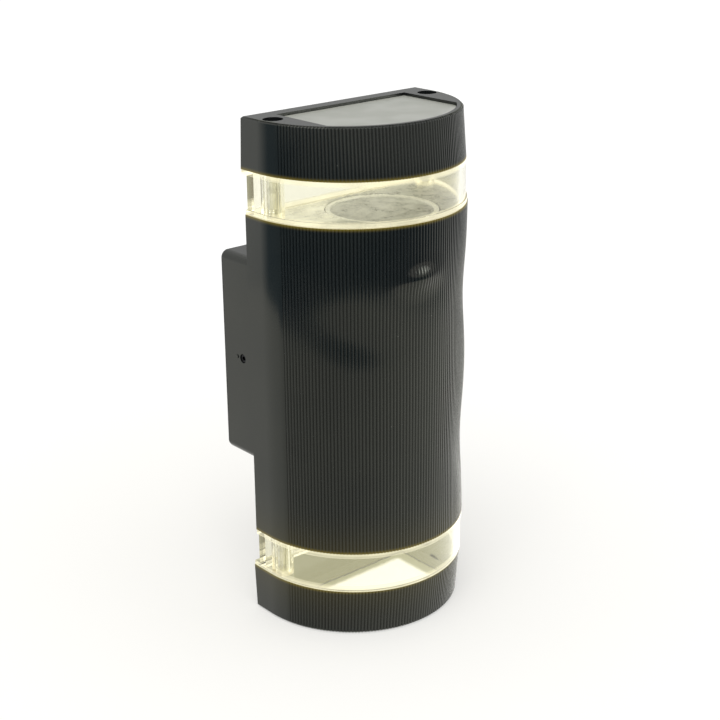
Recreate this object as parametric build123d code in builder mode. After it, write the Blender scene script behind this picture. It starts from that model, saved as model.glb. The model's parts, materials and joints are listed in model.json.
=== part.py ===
"""Half-round up and down wall light.

A ribbed black housing of D section holds two GU10 lamps back to back. A clear band and a black
cap with a glass window close each end, held by two long screws. A deep box at the back carries
the housing on a steel wall bracket and holds the terminal block.

Millimetres. +Z is up, the front of the light looks along -Y, and the origin is the centre of the
cable hole in the face that lies against the wall.
"""
from build123d import *
from math import cos, degrees, radians, sin, tan
import os

os.makedirs("parts", exist_ok=True)

# Overall form
housing_width = 105.0
housing_depth = 63.0      # from the housing's back to the middle of its round front
box_depth = 38.0
cap_height = 23.1
band_height = 19.8

# Housing walls and end seats
housing_wall = 3.0
seat_depth = 1.0          # seat in each end for the reflector plate and its seal
seat_lip = 1.2            # outer lip round that seat
end_flange_width = 1.5
end_flange_thickness = 3.0

# Ribs on the round front
rib_pitch = 1.58
rib_depth = 0.5
groove_width = 0.85
plain_side_angle = 14.0   # the ribs start this far round from the middle of each side
trim_margin = 1.0         # how far the plain blank stands outside the ribbed form that trims it

# Caps
cap_side_inset = 0.4      # the cap's foot is this much narrower than the housing, each side
cap_front_inset = 1.2
cap_back_overhang = 2.8
cap_side_taper = 0.9
cap_front_taper = 2.0
cap_edge_chamfer = 0.8
cap_wall = 3.0
cap_face_thickness = 2.5

# Window, glass and its bed
window_rim = 2.8          # cap face left in front of the window
window_side_margin = 3.0  # cap face left between the window and the screw recesses
window_back_margin = 4.6
window_frame_wall = 2.0
window_ledge = 3.0
ledge_thickness = 1.6
glass_thickness = 3.0
glass_recess = 1.2
glass_edge_gap = 0.3
bed_thickness = 0.8       # silicone under the glass

# Clear band
band_wall = 3.0
band_inset = 0.8
band_flange_thickness = 2.2
band_flange_inset = 0.2

# Seals
seal_width = 1.8
seal_side_gap = 0.05

# Long cap screws
cap_screw_side_inset = 7.5
cap_screw_setback = 12.0  # from the housing's back to the screws
cap_screw_radius = 2.0
cap_screw_head_radius = 3.8
cap_screw_head_height = 2.6
cap_screw_sink = 8.0      # from the cap's face down to the head's seat
cap_screw_grip = 12.0
screw_post_radius = 4.8
cap_screw_bore_radius = 2.3
post_bore_radius = 2.4
head_recess_radius = 4.5
head_recess_wall = 1.5
thread_gap = 0.05
cap_screw_tip_room = 2.0
screw_post_floor = 3.0    # solid end of each post in the housing

# Reflector plates
plate_edge_gap = 0.3
lamp_gap = 0.5

# Lamps (GU10, 50 mm across) and their holders
lamp_front_room = 3.2     # from the clear band's front wall to the lamp
lamp_radius = 25.0
lamp_length = 47.0
lamp_face_drop = 0.1      # the lamp's face lies this far inside the housing's end
lamp_base_radius = 12.5
lamp_neck_height = 8.0
lamp_rim_height = 9.0
lamp_bell_lean = 0.3      # the bell leaves its neck at this slope outwards
lens_radius = 23.0
lens_gap = 0.1
lens_thickness = 2.0
lens_recess = 0.8
pin_spacing = 10.0
pin_neck_radius = 1.6
pin_neck_length = 4.0
pin_head_radius = 2.5
pin_head_length = 3.1
holder_radius = 15.0
holder_height = 15.0
holder_gap = 0.4
holder_cover = 3.2
keyhole_clearance = 0.3
cavity_clearance = 0.5
cavity_height = 4.2
lock_turn = 22.0
contact_radius = 2.0
contact_height = 4.6
contact_gap = 0.1
contact_proud = 0.4
holder_screw_span = 22.0
holder_screw_sink = 4.0
holder_screw_through = 1.5

# Small screws
m3_radius = 1.5
m3_head_radius = 2.75
m3_head_height = 2.0
m4_radius = 2.0
m4_head_radius = 4.0
m4_head_height = 2.8
m4_clearance = 0.25
m3_clearance = 0.15
driver_slot_width = 0.9
driver_slot_depth = 1.2
screw_tip_gap = 1.0

# Lamp bracket
bracket_sheet = 1.5
lamp_bracket_height = 29.2
lamp_bracket_margin = 2.0  # sheet left round each lampholder, at the sides and the front
lamp_bracket_lead_radius = 8.0
lamp_bracket_standoff = 5.0
lamp_bracket_screw_span = 27.0
lamp_bracket_screw_grip = 6.0
bend_radius = 1.0

# Wall box
box_width = 80.0
box_height = 101.0
box_corner_radius = 4.0
box_wall = 2.5
box_screw_side_inset = 10.0
box_screw_end_inset = 12.5
box_screw_grip = 7.0
box_boss_radius = 4.5
box_boss_length = 8.0
box_seal_inset = 3.0
box_seal_width = 2.0
box_seal_corner_radius = 3.0
box_seal_depth = 1.2
wall_seal_thickness = 1.5
wall_seal_inset = 0.3

# Wall bracket and the grub screws that hold the box on it
wall_bracket_height = 34.0
wall_bracket_gap = 0.3
wall_bracket_tab_depth = 22.0
wall_bracket_tab_width = 18.0
wall_bracket_tab_root = 3.0  # full-height strip left at the foot of each tab
cable_hole_radius = 10.0
wall_slot_span = 50.0
wall_slot_length = 12.0
wall_slot_width = 5.2
grub_screw_setback = 15.0
grub_screw_length = 7.0
grub_screw_sink = 0.5
grub_socket_depth = 2.0
grub_socket_across = 2.0
locating_pip_setback = 10.4
locating_pip_radius = 1.0
locating_pip_height = 0.4

# Lead grommet
lead_hole_radius = 6.0
grommet_bore_radius = 4.0
grommet_flange_radius = 8.5
grommet_flange_thickness = 1.5
grommet_gap = 0.1

# Terminal block
pole_pitch = 11.0
pole_count = 3
block_height = 17.0
block_depth = 14.0
block_end_margin = 1.5
block_corner_radius = 1.0
block_top_room = 7.0      # from the block's top to the box's inner top wall
block_pillar_height = 3.0
block_pillar_radius = 3.5
insert_radius = 3.3
insert_bore_radius = 2.3
insert_end_recess = 1.0
block_hole_gap = 0.1
clamp_screw_span = 8.0
clamp_screw_radius = 1.5
clamp_screw_gap = 0.2
clamp_screw_slot_width = 0.5
clamp_screw_top_room = 1.0
block_screw_grip = 4.0

# Lamp leads
lead_radius = 0.9
lead_side_step = 1.8
lead_pair_step = 1.3
lead_entry_gap = 0.15
lead_drop = 8.0           # straight down from the holder before the first bend
lead_turn_setback = 7.5   # from the box's floor to the turn up to the terminals
lead_strip = 5.0          # how far a lead reaches into its terminal
lead_bend_share = 0.45

# Places worked out from the sizes above
housing_radius = housing_width / 2
back_y = -box_depth
front_y = back_y - housing_depth
front_centre_y = front_y + housing_radius
inner_back_y = back_y - housing_wall
box_floor_y = back_y + box_wall
lamp_y = front_y + band_inset + band_wall + lamp_front_room + lamp_radius

# Heights from the middle up, along the stack of bracket, holder, lamp, band and cap
holder_foot_z = lamp_bracket_height / 2
holder_top_z = holder_foot_z + holder_height
lamp_base_z = holder_top_z + holder_gap
lamp_face_z = lamp_base_z + lamp_length
end_z = lamp_face_z + lamp_face_drop
seat_z = end_z - seat_depth
band_top_z = end_z + band_height
top_z = band_top_z + cap_height

cap_screw_x = housing_radius - cap_screw_side_inset
cap_screw_points = [(side * cap_screw_x, back_y - cap_screw_setback) for side in (-1, 1)]
box_screw_x = box_width / 2 - box_screw_side_inset
box_screw_z = box_height / 2 - box_screw_end_inset
box_screw_points = [(x * box_screw_x, z * box_screw_z) for x in (-1, 1) for z in (-1, 1)]
pin_points = [(side * pin_spacing / 2, lamp_y) for side in (-1, 1)]


def write(piece, label):
    """Label a finished piece and write its file."""
    piece.label = label
    export_step(piece, f"parts/{label}.step")


def write_pair(piece, name):
    """Write a piece of the upper end, and the same piece turned over for the lower end."""
    write(piece, f"upper_{name}")
    write(piece.rotate(Axis.Y, 180), f"lower_{name}")


def d_outline(radius, centre_y, rear_y):
    """A D: straight back and sides, and a half-round front about centre_y."""
    with BuildSketch() as outline:
        with Locations((0, centre_y)):
            Circle(radius)
            Rectangle(2 * radius, 2 * radius, align=(Align.CENTER, Align.MIN))
        with Locations((0, rear_y)):
            Rectangle(2 * radius, 2 * radius, align=(Align.CENTER, Align.MAX), mode=Mode.INTERSECT)
    return outline.sketch


def ribbed_d(radius, centre_y, rear_y):
    """The same D with fine V grooves round its front, which leave the ribs between them."""
    ribbed_angle = 180 - 2 * plain_side_angle
    rib_count = round(radians(ribbed_angle) * housing_radius / rib_pitch)
    half_groove = degrees(groove_width / 2 / housing_radius)
    groove_angles = [180 + plain_side_angle + i * ribbed_angle / rib_count for i in range(rib_count + 1)]

    def at(angle, depth=0.0):
        reach = radius - depth
        return reach * cos(radians(angle)), centre_y + reach * sin(radians(angle))

    with BuildSketch() as outline:
        with BuildLine():
            Polyline((radius, centre_y), (radius, rear_y), (-radius, rear_y), (-radius, centre_y))
            crest_start = 180
            for groove_angle in groove_angles:
                crest_end = groove_angle - half_groove
                ThreePointArc(at(crest_start), at((crest_start + crest_end) / 2), at(crest_end))
                crest_start = groove_angle + half_groove
                Polyline(at(crest_end), at(groove_angle, rib_depth), at(crest_start))
            ThreePointArc(at(crest_start), at((crest_start + 360) / 2), at(360))
        make_face()
    return outline.sketch


def housing_d(inset):
    """The housing's outline, moved inwards."""
    return d_outline(housing_radius - inset, front_centre_y, back_y - inset)


def cap_section(share, inset=0.0):
    """Radius, centre and back of the tapering cap at a share of its height, moved inwards."""
    radius = housing_radius - cap_side_inset - cap_side_taper * share
    centre_y = front_y + cap_front_inset + cap_front_taper * share + radius
    return radius - inset, centre_y, back_y + cap_back_overhang - inset


def window_outline(inset):
    """The cap's window: a straight-sided slice of the cap's D, moved inwards."""
    radius, centre_y, _ = cap_section(1.0, window_rim + inset)
    rear_y = back_y - window_back_margin - inset
    half_width = cap_screw_x - head_recess_radius - window_side_margin - inset
    with BuildSketch() as outline:
        add(d_outline(radius, centre_y, rear_y))
        with Locations((0, rear_y)):
            Rectangle(2 * half_width, housing_depth, align=(Align.CENTER, Align.MAX), mode=Mode.INTERSECT)
    return outline.sketch


with BuildPart() as body_housing:
    with BuildSketch(Plane.XY.offset(-end_z)):
        add(d_outline(housing_radius + trim_margin, front_centre_y, back_y + trim_margin))
    extrude(amount=2 * end_z)
    with BuildSketch(Plane.XY.offset(-end_z)):
        add(housing_d(housing_wall + end_flange_width))
    extrude(amount=2 * end_z, mode=Mode.SUBTRACT)
    room_z = seat_z - end_flange_thickness
    with BuildSketch(Plane.XY.offset(-room_z)):
        add(housing_d(housing_wall))
    extrude(amount=2 * room_z, mode=Mode.SUBTRACT)
    for seat_floor_z in (-end_z, seat_z):
        with BuildSketch(Plane.XY.offset(seat_floor_z)):
            add(housing_d(seat_lip))
        extrude(amount=seat_depth, mode=Mode.SUBTRACT)

    bore_length = cap_screw_grip + cap_screw_tip_room
    post_length = bore_length + screw_post_floor
    for foot_z, mouth_z in ((seat_z - post_length, seat_z - bore_length), (-seat_z, -seat_z)):
        with BuildSketch(Plane.XY.offset(foot_z)):
            with Locations(*cap_screw_points):
                Circle(screw_post_radius)
        extrude(amount=post_length)
        with BuildSketch(Plane.XY.offset(mouth_z)):
            with Locations(*cap_screw_points):
                Circle(cap_screw_radius + thread_gap)
        extrude(amount=bore_length, mode=Mode.SUBTRACT)

    lamp_bracket_screw_points = [(side * lamp_bracket_screw_span / 2, 0) for side in (-1, 1)]
    with BuildSketch(Plane.XZ.offset(-inner_back_y)):
        with Locations(*lamp_bracket_screw_points):
            Circle(box_boss_radius)
    extrude(amount=lamp_bracket_standoff)
    with BuildSketch(Plane.XZ.offset(-inner_back_y)):
        with Locations(*box_screw_points):
            Circle(box_boss_radius)
    extrude(amount=box_boss_length)
    with BuildSketch(Plane.XZ.offset(-inner_back_y + lamp_bracket_standoff)):
        with Locations(*lamp_bracket_screw_points):
            Circle(m3_radius + thread_gap)
    extrude(amount=-lamp_bracket_screw_grip, mode=Mode.SUBTRACT)
    with BuildSketch(Plane.XZ.offset(-back_y)):
        with Locations(*box_screw_points):
            Circle(m4_radius + thread_gap)
    extrude(amount=box_screw_grip, mode=Mode.SUBTRACT)
    with BuildSketch(Plane.XZ.offset(-back_y - trim_margin)):
        Circle(lead_hole_radius)
    extrude(amount=housing_wall + trim_margin, mode=Mode.SUBTRACT)
    with BuildSketch(Plane.XY.offset(-end_z - trim_margin)):
        add(ribbed_d(housing_radius, front_centre_y, back_y))
    extrude(amount=2 * (end_z + trim_margin), mode=Mode.INTERSECT)
write(body_housing.part, "body_housing")


with BuildPart() as body_seal:
    with BuildSketch(Plane.XY.offset(seat_z)):
        add(housing_d(seat_lip + seal_side_gap))
        add(housing_d(seat_lip + seal_width), mode=Mode.SUBTRACT)
    extrude(amount=seat_depth)
write_pair(body_seal.part, "body_seal")


with BuildPart() as reflector_plate:
    with BuildSketch(Plane.XY.offset(seat_z)):
        add(housing_d(seat_lip + seal_width + plate_edge_gap))
        with Locations((0, lamp_y)):
            Circle(lamp_radius + lamp_gap, mode=Mode.SUBTRACT)
        with Locations(*cap_screw_points):
            Circle(post_bore_radius, mode=Mode.SUBTRACT)
    extrude(amount=seat_depth)
write_pair(reflector_plate.part, "reflector_plate")


with BuildPart() as clear_band:
    with BuildSketch(Plane.XY.offset(end_z)):
        add(housing_d(band_inset))
    extrude(amount=band_height)
    with BuildSketch(Plane.XY.offset(end_z)):
        add(housing_d(band_flange_inset))
    extrude(amount=band_flange_thickness)
    with BuildSketch(Plane.XY.offset(band_top_z - band_flange_thickness)):
        add(d_outline(*cap_section(0.0, band_flange_inset)))
    extrude(amount=band_flange_thickness)
    with BuildSketch(Plane.XY.offset(end_z)):
        add(housing_d(band_inset + band_wall))
    extrude(amount=band_height, mode=Mode.SUBTRACT)
    with BuildSketch(Plane.XY.offset(end_z)):
        with Locations(*cap_screw_points):
            Circle(screw_post_radius)
    extrude(amount=band_height)
    with BuildSketch(Plane.XY.offset(end_z)):
        with Locations(*cap_screw_points):
            Circle(post_bore_radius)
    extrude(amount=band_height, mode=Mode.SUBTRACT)
write_pair(clear_band.part, "clear_band")


with BuildPart() as cap_seal:
    with BuildSketch(Plane.XY.offset(band_top_z)):
        add(d_outline(*cap_section(0.0, seat_lip + seal_side_gap)))
        add(d_outline(*cap_section(0.0, seat_lip + seal_width)), mode=Mode.SUBTRACT)
    extrude(amount=seat_depth)
write_pair(cap_seal.part, "cap_seal")


glass_top_z = top_z - glass_recess
bed_top_z = glass_top_z - glass_thickness
ledge_z = bed_top_z - bed_thickness
head_seat_z = top_z - cap_screw_sink
cap_ceiling_z = top_z - cap_face_thickness

with BuildPart() as cap:
    with BuildSketch(Plane.XY.offset(band_top_z)):
        add(d_outline(*cap_section(0.0, -trim_margin)))
    extrude(amount=cap_height + trim_margin)
    ceiling_share = (cap_ceiling_z - band_top_z) / cap_height
    with BuildSketch(Plane.XY.offset(band_top_z)):
        add(d_outline(*cap_section(0.0, cap_wall)))
    with BuildSketch(Plane.XY.offset(cap_ceiling_z)):
        add(d_outline(*cap_section(ceiling_share, cap_wall)))
    loft(ruled=True, mode=Mode.SUBTRACT)

    with BuildSketch(Plane.XY.offset(ledge_z - ledge_thickness)):
        add(window_outline(-window_frame_wall))
    extrude(amount=cap_ceiling_z - ledge_z + ledge_thickness)
    with BuildSketch(Plane.XY.offset(band_top_z)):
        with Locations(*cap_screw_points):
            Circle(screw_post_radius)
    extrude(amount=head_seat_z - band_top_z)
    with BuildSketch(Plane.XY.offset(head_seat_z - head_recess_wall)):
        with Locations(*cap_screw_points):
            Circle(head_recess_radius + head_recess_wall)
    extrude(amount=cap_ceiling_z - head_seat_z + head_recess_wall)
    with BuildSketch(Plane.XY.offset(band_top_z)):
        add(d_outline(*cap_section(0.0, seat_lip)))
        add(d_outline(*cap_section(0.0, seat_lip + seal_width)), mode=Mode.SUBTRACT)
    extrude(amount=seat_depth, mode=Mode.SUBTRACT)

    with BuildSketch(Plane.XY.offset(ledge_z)):
        add(window_outline(0.0))
    extrude(amount=top_z - ledge_z + trim_margin, mode=Mode.SUBTRACT)
    with BuildSketch(Plane.XY.offset(ledge_z - ledge_thickness)):
        add(window_outline(window_ledge))
    extrude(amount=ledge_thickness, mode=Mode.SUBTRACT)
    with BuildSketch(Plane.XY.offset(head_seat_z)):
        with Locations(*cap_screw_points):
            Circle(head_recess_radius)
    extrude(amount=cap_screw_sink + trim_margin, mode=Mode.SUBTRACT)
    with BuildSketch(Plane.XY.offset(band_top_z)):
        with Locations(*cap_screw_points):
            Circle(cap_screw_bore_radius)
    extrude(amount=head_seat_z - band_top_z, mode=Mode.SUBTRACT)

    chamfer_share = 1 - cap_edge_chamfer / cap_height
    with BuildSketch(Plane.XY.offset(band_top_z)):
        add(ribbed_d(*cap_section(0.0)))
    with BuildSketch(Plane.XY.offset(top_z - cap_edge_chamfer)):
        add(ribbed_d(*cap_section(chamfer_share)))
    with BuildSketch(Plane.XY.offset(top_z)):
        add(ribbed_d(*cap_section(1.0, cap_edge_chamfer)))
    loft(ruled=True, mode=Mode.INTERSECT)
write_pair(cap.part, "cap")


with BuildPart() as glass_bed:
    with BuildSketch(Plane.XY.offset(ledge_z)):
        add(window_outline(glass_edge_gap))
        add(window_outline(window_ledge), mode=Mode.SUBTRACT)
    extrude(amount=bed_thickness)
write_pair(glass_bed.part, "glass_bed")


with BuildPart() as window_glass:
    with BuildSketch(Plane.XY.offset(bed_top_z)):
        add(window_outline(glass_edge_gap))
    extrude(amount=glass_thickness)
write_pair(window_glass.part, "window_glass")


with BuildPart() as cap_screws:
    with BuildSketch(Plane.XY.offset(seat_z - cap_screw_grip)):
        with Locations(*cap_screw_points):
            Circle(cap_screw_radius)
    extrude(amount=head_seat_z - seat_z + cap_screw_grip)
    with BuildSketch(Plane.XY.offset(head_seat_z)):
        with Locations(*cap_screw_points):
            Circle(cap_screw_head_radius)
    extrude(amount=cap_screw_head_height)
    with BuildSketch(Plane.XY.offset(head_seat_z + cap_screw_head_height)):
        with Locations(*cap_screw_points):
            Rectangle(cap_screw_head_radius, driver_slot_width)
            Rectangle(driver_slot_width, cap_screw_head_radius)
    extrude(amount=-driver_slot_depth, mode=Mode.SUBTRACT)
write_pair(cap_screws.part, "cap_screws")


with BuildPart() as lamp_shell:
    with BuildSketch(Plane.XZ.offset(-lamp_y)):
        neck_top_z = lamp_base_z + lamp_neck_height
        rim_foot_z = lamp_face_z - lamp_rim_height
        lens_seat_z = lamp_face_z - lens_recess - lens_thickness
        with BuildLine():
            Polyline(
                (0, lens_seat_z),
                (0, lamp_base_z),
                (lamp_base_radius, lamp_base_z),
                (lamp_base_radius, neck_top_z),
            )
            Spline(
                (lamp_base_radius, neck_top_z),
                (lamp_radius, rim_foot_z),
                tangents=((lamp_bell_lean, 1), (0, 1)),
            )
            Polyline(
                (lamp_radius, rim_foot_z),
                (lamp_radius, lamp_face_z),
                (lens_radius + lens_gap, lamp_face_z),
                (lens_radius + lens_gap, lens_seat_z),
                (0, lens_seat_z),
            )
        make_face()
    revolve(axis=Axis((0, lamp_y, 0), (0, 0, 1)))
write_pair(lamp_shell.part, "lamp_shell")


with BuildPart() as lamp_lens:
    with BuildSketch(Plane.XY.offset(lamp_face_z - lens_recess - lens_thickness)):
        with Locations((0, lamp_y)):
            Circle(lens_radius)
    extrude(amount=lens_thickness)
write_pair(lamp_lens.part, "lamp_lens")


with BuildPart() as lamp_pins:
    pin_shoulder_z = lamp_base_z - pin_neck_length
    with BuildSketch(Plane.XY.offset(pin_shoulder_z)):
        with Locations(*pin_points):
            Circle(pin_neck_radius)
    extrude(amount=pin_neck_length)
    with BuildSketch(Plane.XY.offset(pin_shoulder_z)):
        with Locations(*pin_points):
            Circle(pin_head_radius)
    extrude(amount=-pin_head_length)
write_pair(lamp_pins.part, "lamp_pins")


contact_top_z = holder_top_z - holder_cover - cavity_height + contact_proud
contact_foot_z = contact_top_z - contact_height
holder_screw_points = [(0, lamp_y + side * holder_screw_span / 2) for side in (-1, 1)]

with BuildPart() as lampholder:
    with BuildSketch(Plane.XY.offset(holder_foot_z)):
        with Locations((0, lamp_y)):
            Circle(holder_radius)
    extrude(amount=holder_height)
    slot_width = 2 * (pin_neck_radius + keyhole_clearance)
    cavity_width = 2 * (pin_head_radius + cavity_clearance)
    cavity_roof_z = holder_top_z - holder_cover
    slot_paths = [
        CenterArc((0, lamp_y), pin_spacing / 2, start, lock_turn, mode=Mode.PRIVATE) for start in (0, 180)
    ]
    with BuildSketch(Plane.XY.offset(cavity_roof_z)):
        for slot_path in slot_paths:
            SlotArc(slot_path, slot_width)
        with Locations((0, lamp_y)):
            with PolarLocations(pin_spacing / 2, 2, lock_turn):
                Circle(cavity_width / 2)
    extrude(amount=holder_cover, mode=Mode.SUBTRACT)
    with BuildSketch(Plane.XY.offset(cavity_roof_z)):
        for slot_path in slot_paths:
            SlotArc(slot_path, cavity_width)
    extrude(amount=-cavity_height, mode=Mode.SUBTRACT)
    with BuildSketch(Plane.XY.offset(contact_foot_z)):
        with Locations(*pin_points):
            Circle(contact_radius + contact_gap)
    extrude(amount=contact_height, mode=Mode.SUBTRACT)
    with BuildSketch(Plane.XY.offset(holder_foot_z)):
        with Locations(*pin_points):
            Circle(lead_radius + lead_entry_gap)
    extrude(amount=contact_foot_z - holder_foot_z, mode=Mode.SUBTRACT)
    with BuildSketch(Plane.XY.offset(holder_foot_z)):
        with Locations(*holder_screw_points):
            Circle(m3_radius + m3_clearance)
    extrude(amount=holder_height, mode=Mode.SUBTRACT)
    with BuildSketch(Plane.XY.offset(holder_top_z - holder_screw_sink)):
        with Locations(*holder_screw_points):
            Circle(m3_head_radius + m3_clearance)
    extrude(amount=holder_screw_sink, mode=Mode.SUBTRACT)
write_pair(lampholder.part, "lampholder")


with BuildPart() as holder_contacts:
    with BuildSketch(Plane.XY.offset(contact_foot_z)):
        with Locations(*pin_points):
            Circle(contact_radius)
    extrude(amount=contact_height)
write_pair(holder_contacts.part, "holder_contacts")


with BuildPart() as holder_screws:
    holder_screw_seat_z = holder_top_z - holder_screw_sink
    holder_screw_tip_z = holder_foot_z - bracket_sheet - holder_screw_through
    with BuildSketch(Plane.XY.offset(holder_screw_tip_z)):
        with Locations(*holder_screw_points):
            Circle(m3_radius)
    extrude(amount=holder_screw_seat_z - holder_screw_tip_z)
    with BuildSketch(Plane.XY.offset(holder_screw_seat_z)):
        with Locations(*holder_screw_points):
            Circle(m3_head_radius)
    extrude(amount=m3_head_height)
    with BuildSketch(Plane.XY.offset(holder_screw_seat_z + m3_head_height)):
        with Locations(*holder_screw_points):
            Rectangle(2 * m3_head_radius, driver_slot_width)
    extrude(amount=-driver_slot_depth, mode=Mode.SUBTRACT)
write_pair(holder_screws.part, "holder_screws")


lamp_bracket_back_y = inner_back_y - lamp_bracket_standoff
lamp_bracket_reach = lamp_bracket_back_y - lamp_y + holder_radius + lamp_bracket_margin
lamp_bracket_width = 2 * (holder_radius + lamp_bracket_margin)

with BuildPart() as lamp_bracket:
    with BuildSketch(Plane.YZ.offset(-lamp_bracket_width / 2)):
        with Locations((lamp_bracket_back_y, 0)):
            Rectangle(lamp_bracket_reach, lamp_bracket_height, align=(Align.MAX, Align.CENTER))
        with Locations((lamp_bracket_back_y - bracket_sheet, 0)):
            Rectangle(
                lamp_bracket_reach,
                lamp_bracket_height - 2 * bracket_sheet,
                align=(Align.MAX, Align.CENTER),
                mode=Mode.SUBTRACT,
            )
    extrude(amount=lamp_bracket_width)
    web_corners = lamp_bracket.edges().filter_by(Axis.X).group_by(Axis.Y)[-1]
    fillet(web_corners, bend_radius)
    with BuildSketch(Plane.XY.offset(-holder_foot_z)):
        with Locations((0, lamp_y)):
            Circle(lamp_bracket_lead_radius)
        with Locations(*holder_screw_points):
            Circle(m3_radius + thread_gap)
    extrude(amount=lamp_bracket_height, mode=Mode.SUBTRACT)
    with BuildSketch(Plane.XZ.offset(-lamp_bracket_back_y)):
        Circle(lead_hole_radius + grommet_flange_thickness)
        with Locations(*lamp_bracket_screw_points):
            Circle(m3_radius + m3_clearance)
    extrude(amount=bracket_sheet, mode=Mode.SUBTRACT)
write(lamp_bracket.part, "lamp_bracket")


with BuildPart() as lamp_bracket_screws:
    with BuildSketch(Plane.XZ.offset(-lamp_bracket_back_y + bracket_sheet)):
        with Locations(*lamp_bracket_screw_points):
            Circle(m3_radius)
    extrude(amount=-(bracket_sheet + lamp_bracket_screw_grip - screw_tip_gap))
    with BuildSketch(Plane.XZ.offset(-lamp_bracket_back_y + bracket_sheet)):
        with Locations(*lamp_bracket_screw_points):
            Circle(m3_head_radius)
    extrude(amount=m3_head_height)
    with BuildSketch(Plane.XZ.offset(-lamp_bracket_back_y + bracket_sheet + m3_head_height)):
        with Locations(*lamp_bracket_screw_points):
            Rectangle(2 * m3_head_radius, driver_slot_width)
    extrude(amount=-driver_slot_depth, mode=Mode.SUBTRACT)
write(lamp_bracket_screws.part, "lamp_bracket_screws")


block_width = pole_count * pole_pitch + 2 * block_end_margin
block_floor_y = box_floor_y + block_pillar_height
block_lift = box_height / 2 - box_wall - block_top_room - block_height
block_mid_z = block_lift + block_height / 2
pole_xs = [(i - (pole_count - 1) / 2) * pole_pitch for i in range(pole_count)]
block_screw_xs = [(i - (pole_count - 2) / 2) * pole_pitch for i in range(pole_count - 1)]
insert_y = block_floor_y + block_depth / 2

with BuildPart() as wall_box:
    with BuildSketch(Plane.XZ.offset(wall_seal_thickness)):
        RectangleRounded(box_width, box_height, box_corner_radius)
    extrude(amount=box_depth - wall_seal_thickness)
    box_room = (box_width - 2 * box_wall, box_height - 2 * box_wall, box_corner_radius - box_wall)
    with BuildSketch(Plane.XZ.offset(wall_seal_thickness)):
        RectangleRounded(*box_room)
    extrude(amount=box_depth - wall_seal_thickness - box_wall, mode=Mode.SUBTRACT)
    with BuildSketch(Plane.XZ.offset(-back_y)):
        outer_width = box_width - 2 * box_seal_inset
        outer_height = box_height - 2 * box_seal_inset
        RectangleRounded(outer_width, outer_height, box_seal_corner_radius)
        RectangleRounded(
            outer_width - 2 * box_seal_width,
            outer_height - 2 * box_seal_width,
            box_seal_corner_radius - box_seal_width,
            mode=Mode.SUBTRACT,
        )
    extrude(amount=-box_seal_depth, mode=Mode.SUBTRACT)
    with BuildSketch(Plane.XZ.offset(-back_y)):
        Circle(lead_hole_radius)
        with Locations(*box_screw_points):
            Circle(m4_radius + m4_clearance)
    extrude(amount=-box_wall, mode=Mode.SUBTRACT)
    with BuildSketch(Plane.XZ.offset(-box_floor_y)):
        with Locations(*[(x, block_mid_z) for x in block_screw_xs]):
            Circle(block_pillar_radius)
    extrude(amount=-block_pillar_height)
    with BuildSketch(Plane.XZ.offset(-block_floor_y)):
        with Locations(*[(x, block_mid_z) for x in block_screw_xs]):
            Circle(m3_radius + thread_gap)
    extrude(amount=block_screw_grip, mode=Mode.SUBTRACT)
    with BuildSketch(Plane.YZ.offset(-box_width / 2)):
        with Locations((-grub_screw_setback, 0)):
            Circle(m4_radius + m4_clearance)
    extrude(amount=box_width, mode=Mode.SUBTRACT)
    for side in (-1, 1):
        with BuildSketch(Plane.YZ.offset(side * box_width / 2)):
            with Locations((-locating_pip_setback, 0)):
                Circle(locating_pip_radius)
        extrude(amount=side * locating_pip_height)
write(wall_box.part, "wall_box")


with BuildPart() as box_seal:
    with BuildSketch(Plane.XZ.offset(-back_y)):
        seal_inner_step = 2 * (box_seal_width - seal_side_gap)
        RectangleRounded(
            outer_width - 2 * seal_side_gap,
            outer_height - 2 * seal_side_gap,
            box_seal_corner_radius - seal_side_gap,
        )
        RectangleRounded(
            outer_width - seal_inner_step,
            outer_height - seal_inner_step,
            box_seal_corner_radius - box_seal_width + seal_side_gap,
            mode=Mode.SUBTRACT,
        )
    extrude(amount=-box_seal_depth)
write(box_seal.part, "box_seal")


with BuildPart() as wall_seal:
    with BuildSketch(Plane.XZ):
        seal_outer_width = box_width - 2 * wall_seal_inset
        seal_outer_height = box_height - 2 * wall_seal_inset
        RectangleRounded(seal_outer_width, seal_outer_height, box_corner_radius - wall_seal_inset)
        RectangleRounded(*box_room, mode=Mode.SUBTRACT)
    extrude(amount=wall_seal_thickness)
write(wall_seal.part, "wall_seal")


with BuildPart() as box_screws:
    with BuildSketch(Plane.XZ.offset(-box_floor_y)):
        with Locations(*box_screw_points):
            Circle(m4_radius)
    extrude(amount=box_wall + box_screw_grip - screw_tip_gap)
    with BuildSketch(Plane.XZ.offset(-box_floor_y)):
        with Locations(*box_screw_points):
            Circle(m4_head_radius)
    extrude(amount=-m4_head_height)
    with BuildSketch(Plane.XZ.offset(-box_floor_y - m4_head_height)):
        with Locations(*box_screw_points):
            Rectangle(m4_head_radius, driver_slot_width)
            Rectangle(driver_slot_width, m4_head_radius)
    extrude(amount=driver_slot_depth, mode=Mode.SUBTRACT)
write(box_screws.part, "box_screws")


tab_outer_x = box_width / 2 - box_wall - wall_bracket_gap

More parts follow.
